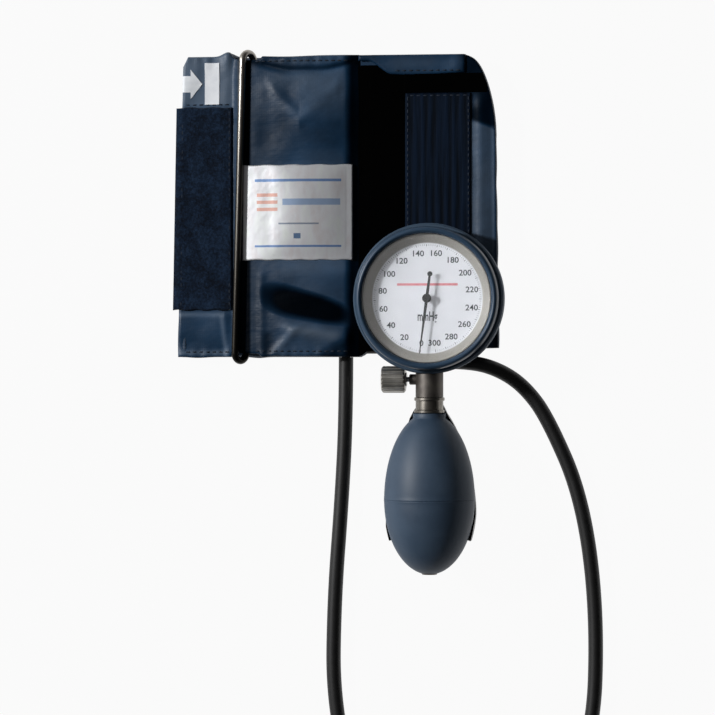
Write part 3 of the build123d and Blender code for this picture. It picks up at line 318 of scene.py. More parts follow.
# The studio is bright on the left, where the window light comes from, and dim on the right.
way = add(tree, "ShaderNodeSeparateXYZ", Vector=add(tree, "ShaderNodeTexCoord").outputs["Generated"])
level = maths(tree, "MULTIPLY_ADD", way.outputs["X"], -0.15, 0.11)
level = maths(tree, "MULTIPLY_ADD", way.outputs["Y"], 0.05, level)
level = maths(tree, "MAXIMUM", level, 0.012)
tree.nodes["Background"].inputs["Color"].default_value = (1, 1, 1, 1)
join(tree, tree.nodes["Background"], Strength=scaled(tree, shown, level, 1.0))


def lamp(name, place, size, power):
    """A square soft box that looks at the middle of the object."""
    data = bpy.data.lights.new(name, "AREA")
    data.shape, data.size, data.energy = "SQUARE", size, power
    thing = placed(name, data)
    thing.location = place
    thing.rotation_euler = (aim - Vector(place)).to_track_quat("-Z", "Y").to_euler()


lamp("key_softbox", (-1.22, 0.4, 1.06), 0.12, 21.4)
lamp("low_softbox", (-1.4, 0.75, 0.6), 0.9, 3.2)

# %% [markdown]
# ## Hose
# A black rubber hose, 7 mm thick. It is one smooth NURBS line that lies on the table and rises to the gauge,
# with the CAD route's corners as its control points, and a round bevel gives it its thickness.

# %% Hose
hose_route = [
    (2.05, -21.85, 3.7),
    (1.95, -52.0, 3.7),
    (-0.1, -91.0, 3.7),
    (-3.6, -137.0, 3.7),
    (-4.3, -187.0, 3.7),
    (8.0, -238.0, 3.7),
    (48.0, -274.5, 3.7),
    (93.0, -259.0, 3.7),
    (119.5, -207.0, 3.7),
    (121.8, -143.0, 3.7),
    (114.6, -88.0, 3.7),
    (98.0, -50.0, 4.0),
    (87.5, -36.0, 5.2),
    (76.5, -28.2, 7.6),
    (63.0, -24.0, 9.0),
    (50.45, -24.0, 9.0),
]
hose_radius = 3.5
hose_rubber = mottled(
    "hose_extruded_rubber", "#070708", "#0e0e0f", 240, (0.46, 0.56), (5200, 0.00002), Specular_IOR_Level=0.5
)
curve = bpy.data.curves.new("hose_line", "CURVE")
curve.dimensions = "3D"
spline = curve.splines.new("NURBS")
spline.points.add(len(hose_route) - 1)
for point, place in zip(spline.points, hose_route):
    point.co = (*(np.array(place) * mm).tolist(), 1)
spline.use_endpoint_u = True
spline.order_u = 3
spline.resolution_u = 16
curve.bevel_depth = hose_radius * mm
curve.bevel_resolution = 6
curve.use_fill_caps = True
curve.materials.append(hose_rubber)
hose = placed("hose_tube", curve)
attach(hose, ROOT)
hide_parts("hose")

# %% [markdown]
# ## Arm cuff
# The cuff is a long nylon sleeve, folded flat. From above it shows a left strip with the loop pad, a puffed
# panel with the label, a dark dip, and a right panel with the hook pad. A cloth layer is a closed slab:
# its top and bottom heights are functions of x and y, and they meet round the border in a soft curve, as
# sewn cloth does.

# %% Cloth materials
def nylon(name, dark, light, rough, thread=0.55, crease=0.00075):
    """Woven nylon with a coating: a plain weave of threads in millimetres, and creases in metres."""
    material, tree, shader = start(name, IOR=1.5)
    where = places(tree)
    cloud = noise(tree, where, 42, 4.0, 0.6)
    shade = add(tree, "ShaderNodeAttribute", {"attribute_name": "shade"}).outputs["Fac"]
    ground = ramp(tree, cloud, [(0.35, dark), (0.68, light)])
    lit = add(tree, "ShaderNodeVectorMath", {"operation": "SCALE"}, i0=ground, Scale=shade).outputs["Vector"]
    # The shade attribute paints light and shade: above 1 it lifts the colour towards a dusty grey as a
    # painted
    # # sheen, and low values paint the colour dark as shade and turn its shine down.
    painted_sheen = scaled(tree, shade, 0.0, 0.6, 1.0, 2.2)
    join(tree, shader, Base_Color=blend(tree, painted_sheen, lit, colour("#5f6872")))
    join(tree, shader, Roughness=scaled(tree, cloud, *rough))
    join(tree, shader, Specular_IOR_Level=scaled(tree, shade, 0.02, 0.34, 0.15, 1.1))
    # The threads are drawn coarser than the real 0.25 mm so that they show.
    bands = 1 / (thread * mm) / 3.14 / 2
    way = [
        add(tree, "ShaderNodeTexWave", {"bands_direction": axis}, Vector=where, Scale=bands).outputs["Fac"]
        for axis in "XY"
    ]
    weave = maths(tree, "MULTIPLY", *way)
    folds = noise(tree, places(tree, (1.0, 2.2, 1.0)), 70, 3.0, 0.5)
    fine = add(tree, "ShaderNodeBump", Strength=0.25, Distance=0.00006, Height=weave).outputs["Normal"]
    coarse = add(tree, "ShaderNodeBump", Strength=0.8, Distance=crease, Height=folds, Normal=fine)
    join(tree, shader, Normal=coarse.outputs["Normal"])
    return material


coated_nylon = nylon("coated_nylon_navy", "#0b2840", "#123654", (0.4, 0.54))
# Nearly black cloth that paints the shadow in the dip and above the hook pad.
painted_shadow_nylon = nylon("painted_shadow_nylon_black", "#020304", "#040608", (0.85, 0.95))


# %% Cloth slab
cuff_left, cuff_right, cuff_top, cuff_bottom = -79.0, 75.4, 121.7, -21.8
cuff_width = cuff_top - cuff_bottom
fold_inset = 3.6  # how far the layers end inside the side folds
over_middle = 9.62  # height at which the upper layers lie on the middle one


def swell(value, low, high):
    """A smooth step from 0 to 1 between two values: t*t*(3-2t)."""
    t = np.clip((value - low) / (high - low), 0, 1)
    return t * t * (3 - 2 * t)


def fade(value, low, high):
    """A smooth step from 1 down to 0 between two values."""
    return 1 - swell(value, low, high)


def hump(value, centre, width):
    """A bell of height 1: exp(-((value - centre) / width)^2)."""
    return np.exp(-(((value - centre) / width) ** 2))


def level_at(height):
    """The same height, place or tone all over."""
    return lambda x, y=0: height + 0 * x


def hem_top(x):
    """The cuff's upper edge: straight, cut off at the left corner, 2 mm proud where the cloth bunches by the
    ring, and a quarter ellipse of 17 by 38 mm round the tall right corner."""
    inside = np.clip((x - (cuff_right - 17.0)) / 17.0, 0, 1)
    cut = 6.0 * np.clip((cuff_left + 3 - x) / 3, 0, 1)
    bunch = 2.1 * hump(x, -54, 3.5) - 0.5 * hump(x, -25, 12)
    return cuff_top - 38.0 * (1 - np.sqrt(1 - inside**2)) - cut + bunch


def hem_bottom(x):
    """The cuff's lower edge: it steps up by 2.3 mm at x = 10, rises a little to the right and hangs in two
    small waves on the left."""
    wave = -0.5 * hump(x, -40, 4) - 0.4 * hump(x, -69, 5)
    return cuff_bottom + 2.3 * np.clip((x - 10) / 3, 0, 1) + 2.0 * np.clip((x - 13) / 62.4, 0, 1) + wave


def lean_in(x, y):
    """The sides lean in towards the top: by 2.6 mm on the left and 1.9 mm on the right, fading inwards."""
    t = np.clip((y - cuff_bottom) / cuff_width, 0, 1)
    left = 1 - np.clip((x - cuff_left) / 23.0, 0, 1)
    right = np.clip((x - 62.0) / (cuff_right - 62.0), 0, 1)
    return x + 2.6 * t * left**2 * (3 - 2 * left) - 1.9 * t * right**2 * (3 - 2 * right)


def slab(name, x_range, low_edge, high_edge, floor_of, roof_of, edge, material, cells=(60, 60), **facts):
    """A closed cloth layer. x and y fill the outline, and with d the distance to the border the top is
    middle + half * sqrt(1 - (1 - d / edge)^2), so it rounds down to the middle of its own thickness."""
    # The cells are finer near the border, where the cloth curves down.
    even = [np.linspace(0, 1, n) for n in cells]
    s, t = (0.5 * (0.5 - 0.5 * np.cos(np.pi * e)) + 0.5 * e for e in even)
    x = (x_range[0] + s * (x_range[1] - x_range[0]))[:, None] + 0 * t
    low, high = low_edge(x), high_edge(x)
    y = low + t * (high - low)
    near = np.minimum(np.minimum(x - x_range[0], x_range[1] - x), np.minimum(y - low, high - y))
    arc = np.sqrt(1 - (1 - np.clip(near / edge, 0, 1)) ** 2)
    roof, ground = roof_of(x, y), floor_of(x, y)
    middle, half = (roof + ground) / 2, (roof - ground) / 2
    bent = lean_in(x, y)
    faces = np.concatenate([grid_faces(*cells), grid_faces(*cells, start=x.size)[:, ::-1]])
    points = np.stack([np.stack([bent, y, middle + way * half * arc], -1) for way in (1, -1)])
    uv = np.stack([np.stack([x, y], -1) * mm] * 2)
    facts = {"slot": "navy_nylon", "shade": level_at(1), **facts}
    return finish_mesh(name, points, faces, material, sharp=0, uv=uv, **facts)


def pucker(x, y, seed, wave=9.0):
    """Shallow wrinkles: a few sine waves that cross at slants, fixed by a seed."""
    chance = np.random.default_rng(seed)
    total = 0 * x
    for _ in range(7):
        angle, phase = chance.uniform(0, np.pi), chance.uniform(0, 2 * np.pi)
        length = wave * chance.uniform(0.8, 2.4)
        across = x * np.cos(angle) + y * np.sin(angle)
        total = total + np.sin(across * 2 * np.pi / length + phase) * length / wave
    return total / 7


# %% [markdown]
# The lower layers are the pouch that holds the bladder, and a middle layer. They bulge a little where the
# cloth is loose, and the two side folds close them like the back of a book.

# %% Pouch, middle layer and side folds
def pouch_roof(x, y):
    """Top of the pouch: it dips by 3 mm under the ring and by up to 0.5 mm towards both hems."""
    return 7.35 - 3.0 * swell(x, -54, -51) * fade(x, -39, -36) - 0.5 * (1 - hump(y, 50, 70))


pouch = slab(
    "cuff_pouch",
    (cuff_left + fold_inset, cuff_right - fold_inset),
    hem_bottom,
    hem_top,
    level_at(0.02),
    pouch_roof,
    3.6,
    coated_nylon,
    cells=(110, 60),
    stands_for=("cuff_sleeve",),
)
middle_cloth = slab(
    "cuff_middle_layer",
    (-37.0, cuff_right - fold_inset),
    lambda x: hem_bottom(x) + 0.6,
    lambda x: hem_top(x) - 0.5,
    level_at(7.62),
    level_at(9.4),
    0.9,
    coated_nylon,
    cells=(50, 50),
)


def side_fold(name, edge, outward, height):
    """A C-shaped strip of cloth round the layers' ends: a half ellipse in x and z, carried along y."""
    reach, cloth, rows = 4.2, 0.9, 60
    middle, root = height / 2, edge - outward * reach
    turn = np.linspace(-np.pi / 2, np.pi / 2, 15)
    outer, inner = (
        np.stack([root + outward * (reach - gap) * np.cos(turn), middle + (middle - gap) * np.sin(turn)], -1)
        for gap in (0, cloth)
    )
    ring = np.concatenate([outer, inner[::-1]])
    v = np.linspace(0, 1, rows)[:, None]
    x = ring[:, 0][None] + 0 * v
    low, high = hem_bottom(x), hem_top(x)
    loose = 0.25 * np.sin(v * 23.0) * np.sin(v * 9.0 + 1)
    y = low + v * (high - low)
    bent = lean_in(x + loose * (ring[:, 0] - root) / reach, y)
    # The strip's upper end is pinched: z closes to the middle along a quarter circle, so no gap shows there.
    pinch = np.sqrt(1 - np.clip((v - 0.94) / 0.06, 0, 0.995) ** 2)
    points = np.stack([bent, y, middle + (ring[:, 1][None] - middle) * pinch], -1)
    n = len(ring)
    k = np.arange(n // 2 - 1)
    cap = np.stack([k, k + 1, n - 2 - k, n - 1 - k], -1)
    faces = np.concatenate([grid_faces(rows, n, wrap_columns=True), cap, cap + (rows - 1) * n])
    # The folds are painted a little darker than the rest of the cloth, as shade.
    return finish_mesh(
        name, points, faces, coated_nylon, sharp=50, slot="navy_nylon", shade=level_at(0.85)
    )


fold_right = side_fold("cuff_right_fold", cuff_right, 1, 9.4)
fold_left = side_fold("cuff_left_fold", cuff_left, -1, 9.2)

# %% [markdown]
# The bladder is a flat rubber bag inside the pouch. Its moulded nipple reaches into the hose. Nobody sees it
# while the cuff is closed, but it is a part of its own, so it gets its own crowned shape and rubber.

# %% Bladder
bladder_latex = mottled("dipped_rubber_brown", "#2a2320", "#3a312c", 90, (0.6, 0.75), (900, 0.00005))


def bag_corner(x):
    """How far the bag's hems draw in: up to 5 mm at its sides, and nothing along most of its length."""
    return 5.0 * (1 - np.sqrt(1 - np.clip(np.abs(x - 14) / 47.8, 0, 1) ** 14))


bladder_bag = slab(
    "bladder_bag",
    (-33.8, 61.8),
    lambda x: -20.2 + bag_corner(x),
    lambda x: 112.9 - bag_corner(x),
    level_at(1.0),
    level_at(6.3),
    2.6,
    bladder_latex,
    cells=(60, 70),
    stands_for=("bladder",),
    slot="bladder_rubber",
)
nipple = [(1.2, -30.7), (1.9, -30.7), (2.0, -30.4), (2.0, -21.0), (3.2, -19.6), (3.2, -19.0), (1.2, -19.0)]
lathe("bladder_nipple", nipple, (2.05, 0, 3.7), "y", bladder_latex, 32, slot="bladder_rubber")

# %% [markdown]
# The label panel is loose cloth over the pouch, held by its seams. Cloth simulation gives it the slight
# swelling of a real one: a closed pad is remeshed to 4 mm cells, pinned along the hems and round the label,
# and blown up by pressure, without gravity. Only the rise of its top is kept, as a smooth height
# that the finely meshed cloth then adds to its own, so the seams and the label stay where they are sewn.


# %% Simulated swelling of the label panel
def crown(x, y=0):
    """The label panel's arch before it swells: 11.4 + 2.7 * (1 - ((x + 18) / 27)^2) from x = -45 to 9."""
    return 11.4 + 2.7 * (1 - np.clip((x + 18) / 27, -1, 1) ** 2) + 0 * y


def along_seams(x, y):
    """True within 3 mm of the panel's border and of the label's outline."""
    border = (np.abs(x + 16) > 19.5) | (y < -17) | (y > 116)
    label = (np.abs(x + 18.6) < 27) & ((np.abs(y - 24.2) < 3) | (np.abs(y - 69.6) < 3))
    return border | label


def blow_up(x_span, y_span, low, pressure=400.0, cap=1.3):
    """Rise of the pinned panel's top under pressure: its points' places in x and y, and how far each rose."""
    x = np.linspace(*x_span, 40)[:, None] + 0 * np.linspace(0, 1, 80)
    y = np.linspace(*y_span, 80)[None] + 0 * x
    points = np.stack([np.stack([x, y, z], -1) for z in (crown(x, y), low + 0 * x)]).reshape(-1, 3)
    mesh = bpy.data.meshes.new("pad_to_blow_up")
    mesh.from_pydata((points * mm).tolist(), [], pad_faces(*x.shape).tolist())
    pad = placed("pad_to_blow_up", mesh)
    cells = pad.modifiers.new("cells", "REMESH")
    cells.mode, cells.voxel_size = "VOXEL", 4 * mm
    mesh = bpy.data.meshes.new_from_object(pad.evaluated_get(bpy.context.evaluated_depsgraph_get()))
    pad.modifiers.clear()
    pad.data = mesh
    before = points_of(mesh) / mm
    held = np.flatnonzero(along_seams(before[:, 0], before[:, 1]) | (before[:, 2] < low + 1))
    pad.vertex_groups.new(name="seams").add(held.tolist(), 1.0, "REPLACE")
    cloth = pad.modifiers.new("swelling", "CLOTH")
    cloth.settings.vertex_group_mass = "seams"
    cloth.settings.quality = 6
    cloth.settings.use_pressure = True
    cloth.settings.uniform_pressure_force = pressure
    cloth.settings.effector_weights.gravity = 0
    for frame_number in range(1, 21):
        scene.frame_set(frame_number)
    after = points_of(pad.evaluated_get(bpy.context.evaluated_depsgraph_get()).to_mesh()) / mm
    scene.frame_set(1)
    bpy.data.objects.remove(pad)
    top_only = before[:, 2] > low + 2.5
    rise = np.clip(after[top_only, 2] - before[top_only, 2], 0, cap)
    return before[top_only, :2], rise


rise_x, rise_y = np.linspace(-40, 8, 33), np.linspace(-22, 122, 97)
rise_map = np.zeros((len(rise_x), len(rise_y)))
reach = 3.0  # millimetres over which one point's rise is spread
spots, rises = blow_up((-38.5, 6.5), (-20, 119), 5.0)
far = (rise_x[:, None, None] - spots[:, 0]) ** 2 + (rise_y[None, :, None] - spots[:, 1]) ** 2
weight = np.exp(-far / reach**2)
rise_map = (weight * rises).sum(-1) / np.maximum(weight.sum(-1), 1e-3)
print(f"panel swelling: {len(rises)} points, most {rises.max():.2f} mm, mean {rises.mean():.2f} mm")


def swelling(x, y):
    """The simulated rise at x and y: a straight blend of the four nearest places on its map."""
    last = 0.001  # keeps the last place inside the map
    across = np.clip((x - rise_x[0]) / (rise_x[1] - rise_x[0]), 0, len(rise_x) - 1 - last)
    up = np.clip((y - rise_y[0]) / (rise_y[1] - rise_y[0]), 0, len(rise_y) - 1 - last)
    i, j = across.astype(int), up.astype(int)
    u, v = across - i, up - j
    low = rise_map[i, j] * (1 - u) + rise_map[i + 1, j] * u
    high = rise_map[i, j + 1] * (1 - u) + rise_map[i + 1, j + 1] * u
    return (low * (1 - v) + high * v) * (x > -42) * (x < 9)


# %% [markdown]
# The top layer comes from the left fold, rises over the ring's lower leg, swells into the label panel and
# ends in a steep edge beside the dip. Its height is one function of x and y: a ramp, a crown, a deep crease
# across the lower part with rolls below it, a V-shaped dent at the top, and small puckers by the hems.


# %% Top layer with the label panel
def crease(x, y):
    """The deep crease below the label, a slanting oval: 1 in its middle and 0 outside, with soft edges."""
    along = np.abs((x + 15.0) / 22.0) ** 3.2
    across = np.abs((y - 2.9 + 0.24 * (x + 17)) / (7.2 - 0.05 * (x + 17))) ** 2.6
    return fade(along + across, 0.25, 1.35)


def low_roll(x, y, width):
    """A roll of cloth below the crease, which slants down to the right."""
    return hump(y + 9.5 + 0.16 * (x + 17), 0, width) * swell(x, -32, -22)


def rising_roll(x, y, width):
    """A short roll that runs up from the lower hem, to the right."""
    return hump(x + 24 - 0.9 * (y + 12), 0, width)


def front_height(x, y):
    """Top of the front layer in millimetres."""
    ramp_up = 9.25 + 2.15 * swell(x, -52.4, -48.0)
    base = np.where(x < -45, ramp_up, crown(x)) + swelling(x, y)
    on_panel = swell(x, -41, -36) * fade(x, 3, 8)
    off_label = 1 - swell(y, 17, 23) * fade(y, 71, 77)
    # The deep crease, a roll under it, and two that run up from the hem.
    rolls = low_roll(x, y, 3.2) + 0.7 * rising_roll(x, y, 3.0) * fade(y, -9, -5) + 0.6 * hump(x, -38.5, 2.6)
    base = base + on_panel * fade(y, 15, 20) * (rolls - 1.9 * crease(x, y))
    # The V-shaped dent: two ridges that meet at y = 92, with a hollow in it.
    left_arm = hump(y - 92 + 1.05 * (x + 19), 0, 4.0) * fade(x, -20, -18) * swell(x, -37, -30)
    right_arm = hump(y - 92 - 0.8 * (x + 19), 0, 4.5) * swell(x, -20, -18) * fade(x, -2, 4)
    hollow = hump(x, -24, 5) * hump(y, 104, 6)
    base = base + on_panel * swell(y, 78, 86) * (0.6 * (left_arm + right_arm) - 0.6 * hollow)
    # Under the top hem the cloth is drawn in along a seam.
    drawn = hump(y - (114.2 + 4.0 * swell(np.abs(x + 16), 6, 27)), 0, 1.5)
    base = base + on_panel * (-0.8 * drawn) + on_panel * off_label * 0.3 * pucker(x, y, 3, 17)
    base = base - 1.2 * swell(x, 2.5, 8.5) * (x < 12)
    # The left strip puckers below and above its pad, and bunches at the top of the ring.
    lower_end = 0.55 * pucker(x, y, 8, 12) * fade(y, -3, 0.5)
    upper_end = 0.5 * pucker(x, y, 9, 13) * swell(y, 97, 100)
    base = base + fade(x, -56, -52) * (lower_end + upper_end) + 1.3 * hump(x, -54.5, 3.0) * hump(y, 121, 7)
    # The hem is gathered, so small waves run along the edge.
    hem = hump(y, cuff_top, 4) + hump(y, cuff_bottom, 4)
    return base + 0.25 * hem * np.sin(x * 0.9) * np.sin(x * 0.23 + 1)


def front_under(x, y):
    """Bottom of the front layer: it stays over the middle layer and the ring's lower leg."""
    return np.where(x < -52.4, 7.65, np.where(x < -38, front_height(x, y) - 1.2, over_middle)) + 0 * y


def front_shade(x, y):
    """Painted light and shade on the top layer: painted shade in the crease, under the ring and by the edges,
    and painted highlights on ridges, rolls and the strip's upper end.
    """
    on_panel = swell(x, -44, -36)
    # Painted highlights on bands under the label, on the strip's upper end, along the panel's top and on the
    # V-shaped dent's ridges, with painted shade in its hollow and a band below it.
    tone = 1.0 + 0.40 * swell(y, 14, 22) * fade(y, 24, 30) * on_panel
    tone = tone + 1.5 * swell(y, 96, 101) * fade(x, -54, -50) + 0.45 * hump(y, 108, 9) * swell(x, -44, -40)
    tone = tone - 0.45 * hump(x, -23, 5.5) * hump(y, 104, 6) - 0.3 * hump(y, 84, 9) * on_panel
    tone = tone + 0.35 * hump(y - 93 - 0.5 * np.abs(x + 19), 0, 2.2) * hump(x, -17, 10)
    # A painted shadow along the seam under the top hem's lip.
    seam_shadow = hump(y - (115.6 + 3.0 * swell(np.abs(x + 16), 6, 27)), 0, 1.6)
    tone = tone - 0.75 * seam_shadow * swell(x, -46, -43)
    # Painted highlights along the roll below the crease and the roll that runs up from the hem.
    tone = tone + 0.75 * low_roll(x, y, 3.0) * fade(x, -2, 5)
    tone = tone + 0.5 * rising_roll(x, y, 2.4) * fade(y, -10, -6) * (x > -40)
    # Pressed lines on the strip's lower end, like the outline of a pocket, painted lighter as highlights.
    pocket_highlight = hump(y, -1.5, 1.1) * (x < -56) + hump(y, -19.6, 1.2) * (x < -55)
    pocket_highlight = pocket_highlight + hump(x + 57.5 + 0.12 * y, 0, 1.0) * (y < -1.5)
    tone = tone + 0.9 * pocket_highlight * fade(x, -55, -53) * (y < 0.5)
    # Painted shadow of the ring under it, and painted shade that lifts from there to the panel's right side.
    tone = tone * (1 - 0.92 * swell(x, -50.5, -47.5) * fade(x, -43.6, -42.0))
    tone = tone * np.where(x > -46, 0.62 + 0.62 * swell(x, -42, -14), 1.0)
    # By the lower hem: painted shade on a fold, a painted highlight on the one beside it, and painted shade
    # in the corner at the right.
    tone = tone * (1 - 0.6 * hump(x, -34.5, 3.0) * fade(y, -12, -8))
    tone = tone + 0.35 * hump(x, -27, 5.0) * fade(y, -13, -9) * (x > -40)
    tone = tone * (1 - 0.75 * swell(0.8 * x - y, 9, 18) * fade(y, -9, -4) * (x < 12) * (x > -20))
    # Painted shade in the deep crease and on the panel's steep right edge.
    tone = tone * (1 - 0.96 * crease(x, y)) * (1 - 0.93 * swell(x, 1.0, 6.0) * (x < 12))
    return np.clip(tone, 0.05, 2.2)


def ring_gap(x):
    """The hems stand back by 1.9 mm where the ring passes."""
    return 1.9 * swell(x, -53, -51) * fade(x, -39, -37)


front = slab(
    "cuff_front_layer",
    (cuff_left + 0.6, 9.2),
    lambda x: hem_bottom(x) + ring_gap(x),
    lambda x: hem_top(x) - ring_gap(x),
    front_under,
    front_height,
    1.6,
    coated_nylon,
    cells=(200, 260),
    shade=front_shade,
)

# %% [markdown]
# To the right of the puffed panel the cloth dips, and a nearly black sheet there is painted shadow.
# Beyond it lies the right panel, whose top hem is a folded band; a nearly black strip below that band is
# painted shadow too.


# %% Dip, right panel and hem band
def dip_height(x, y):
    """The dip: 10.6 with a shallow fall to the left and small puckers."""
    return 10.6 - 0.5 * fade(x, 8, 16) + 0.12 * pucker(x, y, 5, 16)


def right_height(x, y):
    """Top of the right panel: 11.15 mm, with a long soft ridge near the right edge and a few puckers."""
    ridge = 0.7 * hump(x, 67.5, 2.8) * fade(y, 96, 104) - 0.5 * hump(x, 73.6, 2.0)
    puckers = 0.3 * pucker(x, y, 12, 17) * (swell(x, 61, 66) + swell(y, 101, 106))
    return 11.15 + ridge + puckers


def right_shade(x, y):
    """Painted light on the right panel: a painted highlight along the margin and a small light streak above
    it, and painted shade above the margin, towards the lower right and next to the dip.
    """
    top = 88 + 0.35 * (68 - x)
    tone = 0.85 + 1.25 * swell(x, 61.5, 63) * fade(x, 72.0, 74.6) * fade(y, top - 1.5, top + 1.0)
    tone = tone * (1 - 0.8 * swell(y, top - 0.5, top + 1.5)) + 0.7 * hump(x, 64, 2.2) * hump(y, 99.5, 3)
    tone = tone * (1 - 0.6 * fade(y, -2, 20) * swell(x, 60, 66))
    return np.clip(tone * (1 - 0.75 * fade(x, 32, 36)), 0.08, 1.8)


def band_height(x, y):
    """Top of the folded hem, with small puckers."""
    return 12.1 + 0.25 * pucker(x, y, 21, 9)


def band_shade(x, y):
    """The folded hem: a painted highlight on its rolled top, and painted shade at both ends."""
    tone = 0.95 + 0.25 * hump(y, 117, 3.0) - 0.45 * fade(x, 16, 26)
    return np.clip(tone - 0.75 * swell(x, 53, 60), 0.15, 1.5)


# A painted shadow: a sheet of nearly black cloth in the dip.
dip = slab(
    "cuff_dip_painted_shadow",
    (6.5, 33.0),
    lambda x: hem_bottom(x) + 0.5,
    lambda x: hem_top(x) - 5.0,
    level_at(over_middle),
    dip_height,
    0.9,
    painted_shadow_nylon,
    cells=(40, 80),
    shade=level_at(0.1),
)
right_panel = slab(
    "cuff_right_panel",
    (31.0, cuff_right),
    hem_bottom,
    lambda x: hem_top(x) - 0.4,
    level_at(over_middle),
    right_height,
    1.4,
    coated_nylon,
    cells=(100, 150),
    shade=right_shade,
)
hem_band = slab(
    "cuff_hem_band",
    (8.8, 60.0),
    lambda x: 118.4 - 6.2 * swell(x, 13, 25) + 0.4 * np.sin(x * 0.13),
    lambda x: hem_top(x) - 0.2,
    level_at(9.7),
    band_height,
    1.5,
    coated_nylon,
    cells=(90, 30),
    shade=band_shade,
)
# A painted shadow: a strip of nearly black cloth between the hem band and the hook pad.
dark_band = slab(
    "cuff_dark_band",
    (30.5, 71.5),
    level_at(103.2),
    lambda x: np.minimum(112.6, hem_top(x) - 1.2),
    lambda x, y: right_height(x, y) - 0.5,
    lambda x, y: right_height(x, y) + 0.35,
    0.8,
    painted_shadow_nylon,
    cells=(50, 16),
    shade=level_at(0.1),
)

# %% [markdown]
# ## Loop pad and hook pad
# Touch fasteners are sewn on: a fuzzy loop pad on the left strip, and a hook pad with fine ribs on the
# right panel. The fuzz is a rough noise bump with a little sheen; the hooks stand in close vertical rows.

# %% Touch fasteners
loop_pile, tree, shader = start(
    "loop_pile_navy", Roughness=0.95, Sheen_Weight=0.06, Sheen_Roughness=0.5, Specular_IOR_Level=0.12
)
where = places(tree)
tufts = noise(tree, where, 900, 5.0, 0.7)
drift = noise(tree, where, 120, 4.0, 0.6)
both = maths(tree, "SUBTRACT", maths(tree, "MULTIPLY_ADD", drift, 0.6, tufts), 0.3)
join(tree, shader, Base_Color=ramp(tree, both, [(0.34, "#070f1b"), (0.5, "#101e30"), (0.66, "#1b2c42")]))
bump(tree, shader, tufts, 0.8, 0.0008)

hook_rows, tree, shader = start("hook_tape_navy", Roughness=0.75, Specular_IOR_Level=0.07)
# The hooks stand in rows 1.9 mm apart; worn rows break up, so the stripes are drawn with a wandering noise.
streaks = noise(tree, places(tree, (1.0, 0.06, 1.0)), 420, 3.0, 0.6)
rows = {"Vector": places(tree), "Scale": 1 / 0.0019 / 6.283}
stripes = add(tree, "ShaderNodeTexWave", {"bands_direction": "X"}, **rows).outputs["Fac"]
mixture = maths(tree, "MULTIPLY_ADD", stripes, 0.22, streaks)
join(tree, shader, Base_Color=ramp(tree, mixture, [(0.42, "#050c16"), (0.75, "#0e1b2d")]))
bump(tree, shader, mixture, 0.7, 0.0005)

loop_pad = slab(
    "loop_pad_pile",
    (-81.2, -52.0),
    lambda x: 0.6 + 0.25 * np.sin(x * 0.7),
    lambda x: 97.4 + 0.25 * np.sin(x * 0.5 + 1),
    lambda x, y: np.where(x < -77.5, 8.5, 9.25) + 0 * y,
    lambda x, y: 10.6 + 0.16 * pucker(x, y, 31, 5) - 0.9 * fade(x, -81.2, -78.0),
    1.2,
    loop_pile,
    cells=(70, 150),
    stands_for=("loop_pad",),
    slot="loop_pile",
)
hook_pad = slab(
    "hook_pad_tape",
    (31.5, 62.4),
    level_at(-4.3),
    level_at(103.0),
    lambda x, y: right_height(x, y) - 0.2,
    lambda x, y: 12.2 + 0.05 * pucker(x, y, 41, 20),
    0.8,
    hook_rows,
    cells=(70, 90),
    stands_for=("hook_pad",),
    slot="hook_tape",
)

# %% [markdown]
# ## Label and prints
# The sewn label is a silver satin patch with plain lines and bars where a maker's words would stand. It
# follows the panel's arch, so its left half catches the light and its right half turns grey. The arrow and
# the bar are white ink on the nylon.

# %% Label
label_satin, tree, shader = start("satin_label_silver", Metallic=0.5, Roughness=0.38)
where = add(tree, "ShaderNodeSeparateXYZ", Vector=places(tree, (1000, 1000, 1000)))


def between(tree, value, low, high):
    """1 where a value lies between two limits, and 0 elsewhere."""
    return maths(tree, "COMPARE", value, (low + high) / 2, (high - low) / 2)


threads = noise(tree, places(tree, (2.2, 1, 1)), 90, 3.0)
inked = ramp(tree, threads, [(0.3, "#d0ccce"), (0.5, "#d7d8dc"), (0.7, "#dadedc")])
# Each mark is a span of x, a span of y and its ink: lines above and below, a bar, a thin line, a small
# square and three short lines.
marks = [
    ((-40.6, 1.0), (61.5, 62.8), "#6f8cb8"),
    ((-40.6, 1.0), (30.4, 31.4), "#6f8cb8"),
    ((-27.0, 0.5), (50.4, 53.4), "#93a7c4"),
    ((-29.0, -9.5), (41.2, 42.0), "#8b94a2"),
    ((-21.6, -18.2), (34.5, 37.0), "#5d7798"),
    ((-39.6, -29.4), (47.6, 49.2), "#cfa398"),
    ((-39.6, -29.4), (51.0, 52.6), "#cfa398"),
    ((-39.6, -29.4), (54.4, 56.0), "#cfa398"),
]
for x_span, y_span, code in marks:
    in_x, in_y = between(tree, where.outputs["X"], *x_span), between(tree, where.outputs["Y"], *y_span)
    inked = blend(tree, maths(tree, "MULTIPLY", in_x, in_y), inked, colour(code))
join(tree, shader, Base_Color=inked)
bump(tree, shader, noise(tree, places(tree), 130, 2.0), 0.35, 0.0004)

label = slab(
    "label_satin_patch",
    (-46.7, 6.3),
    lambda x: 24.2 + 0.15 * np.sin(x * 0.6),
    lambda x: 69.6 + 0.15 * np.sin(x * 0.5),
    lambda x, y: front_height(x, y) - 0.25,
    lambda x, y: np.maximum(crown(x) * (x > -42), front_height(x, y)) + 0.5 + 0.05 * pucker(x, y, 51, 12),
    0.5,
    label_satin,
    cells=(90, 60),
    stands_for=("label_patch",),
    slot="silver_label",
)

# %% Printed arrow and bar
print_ink = mottled("printed_ink_white", "#e6eaf0", "#f3f6fa", 300, (0.45, 0.6), (1800, 0.00005))


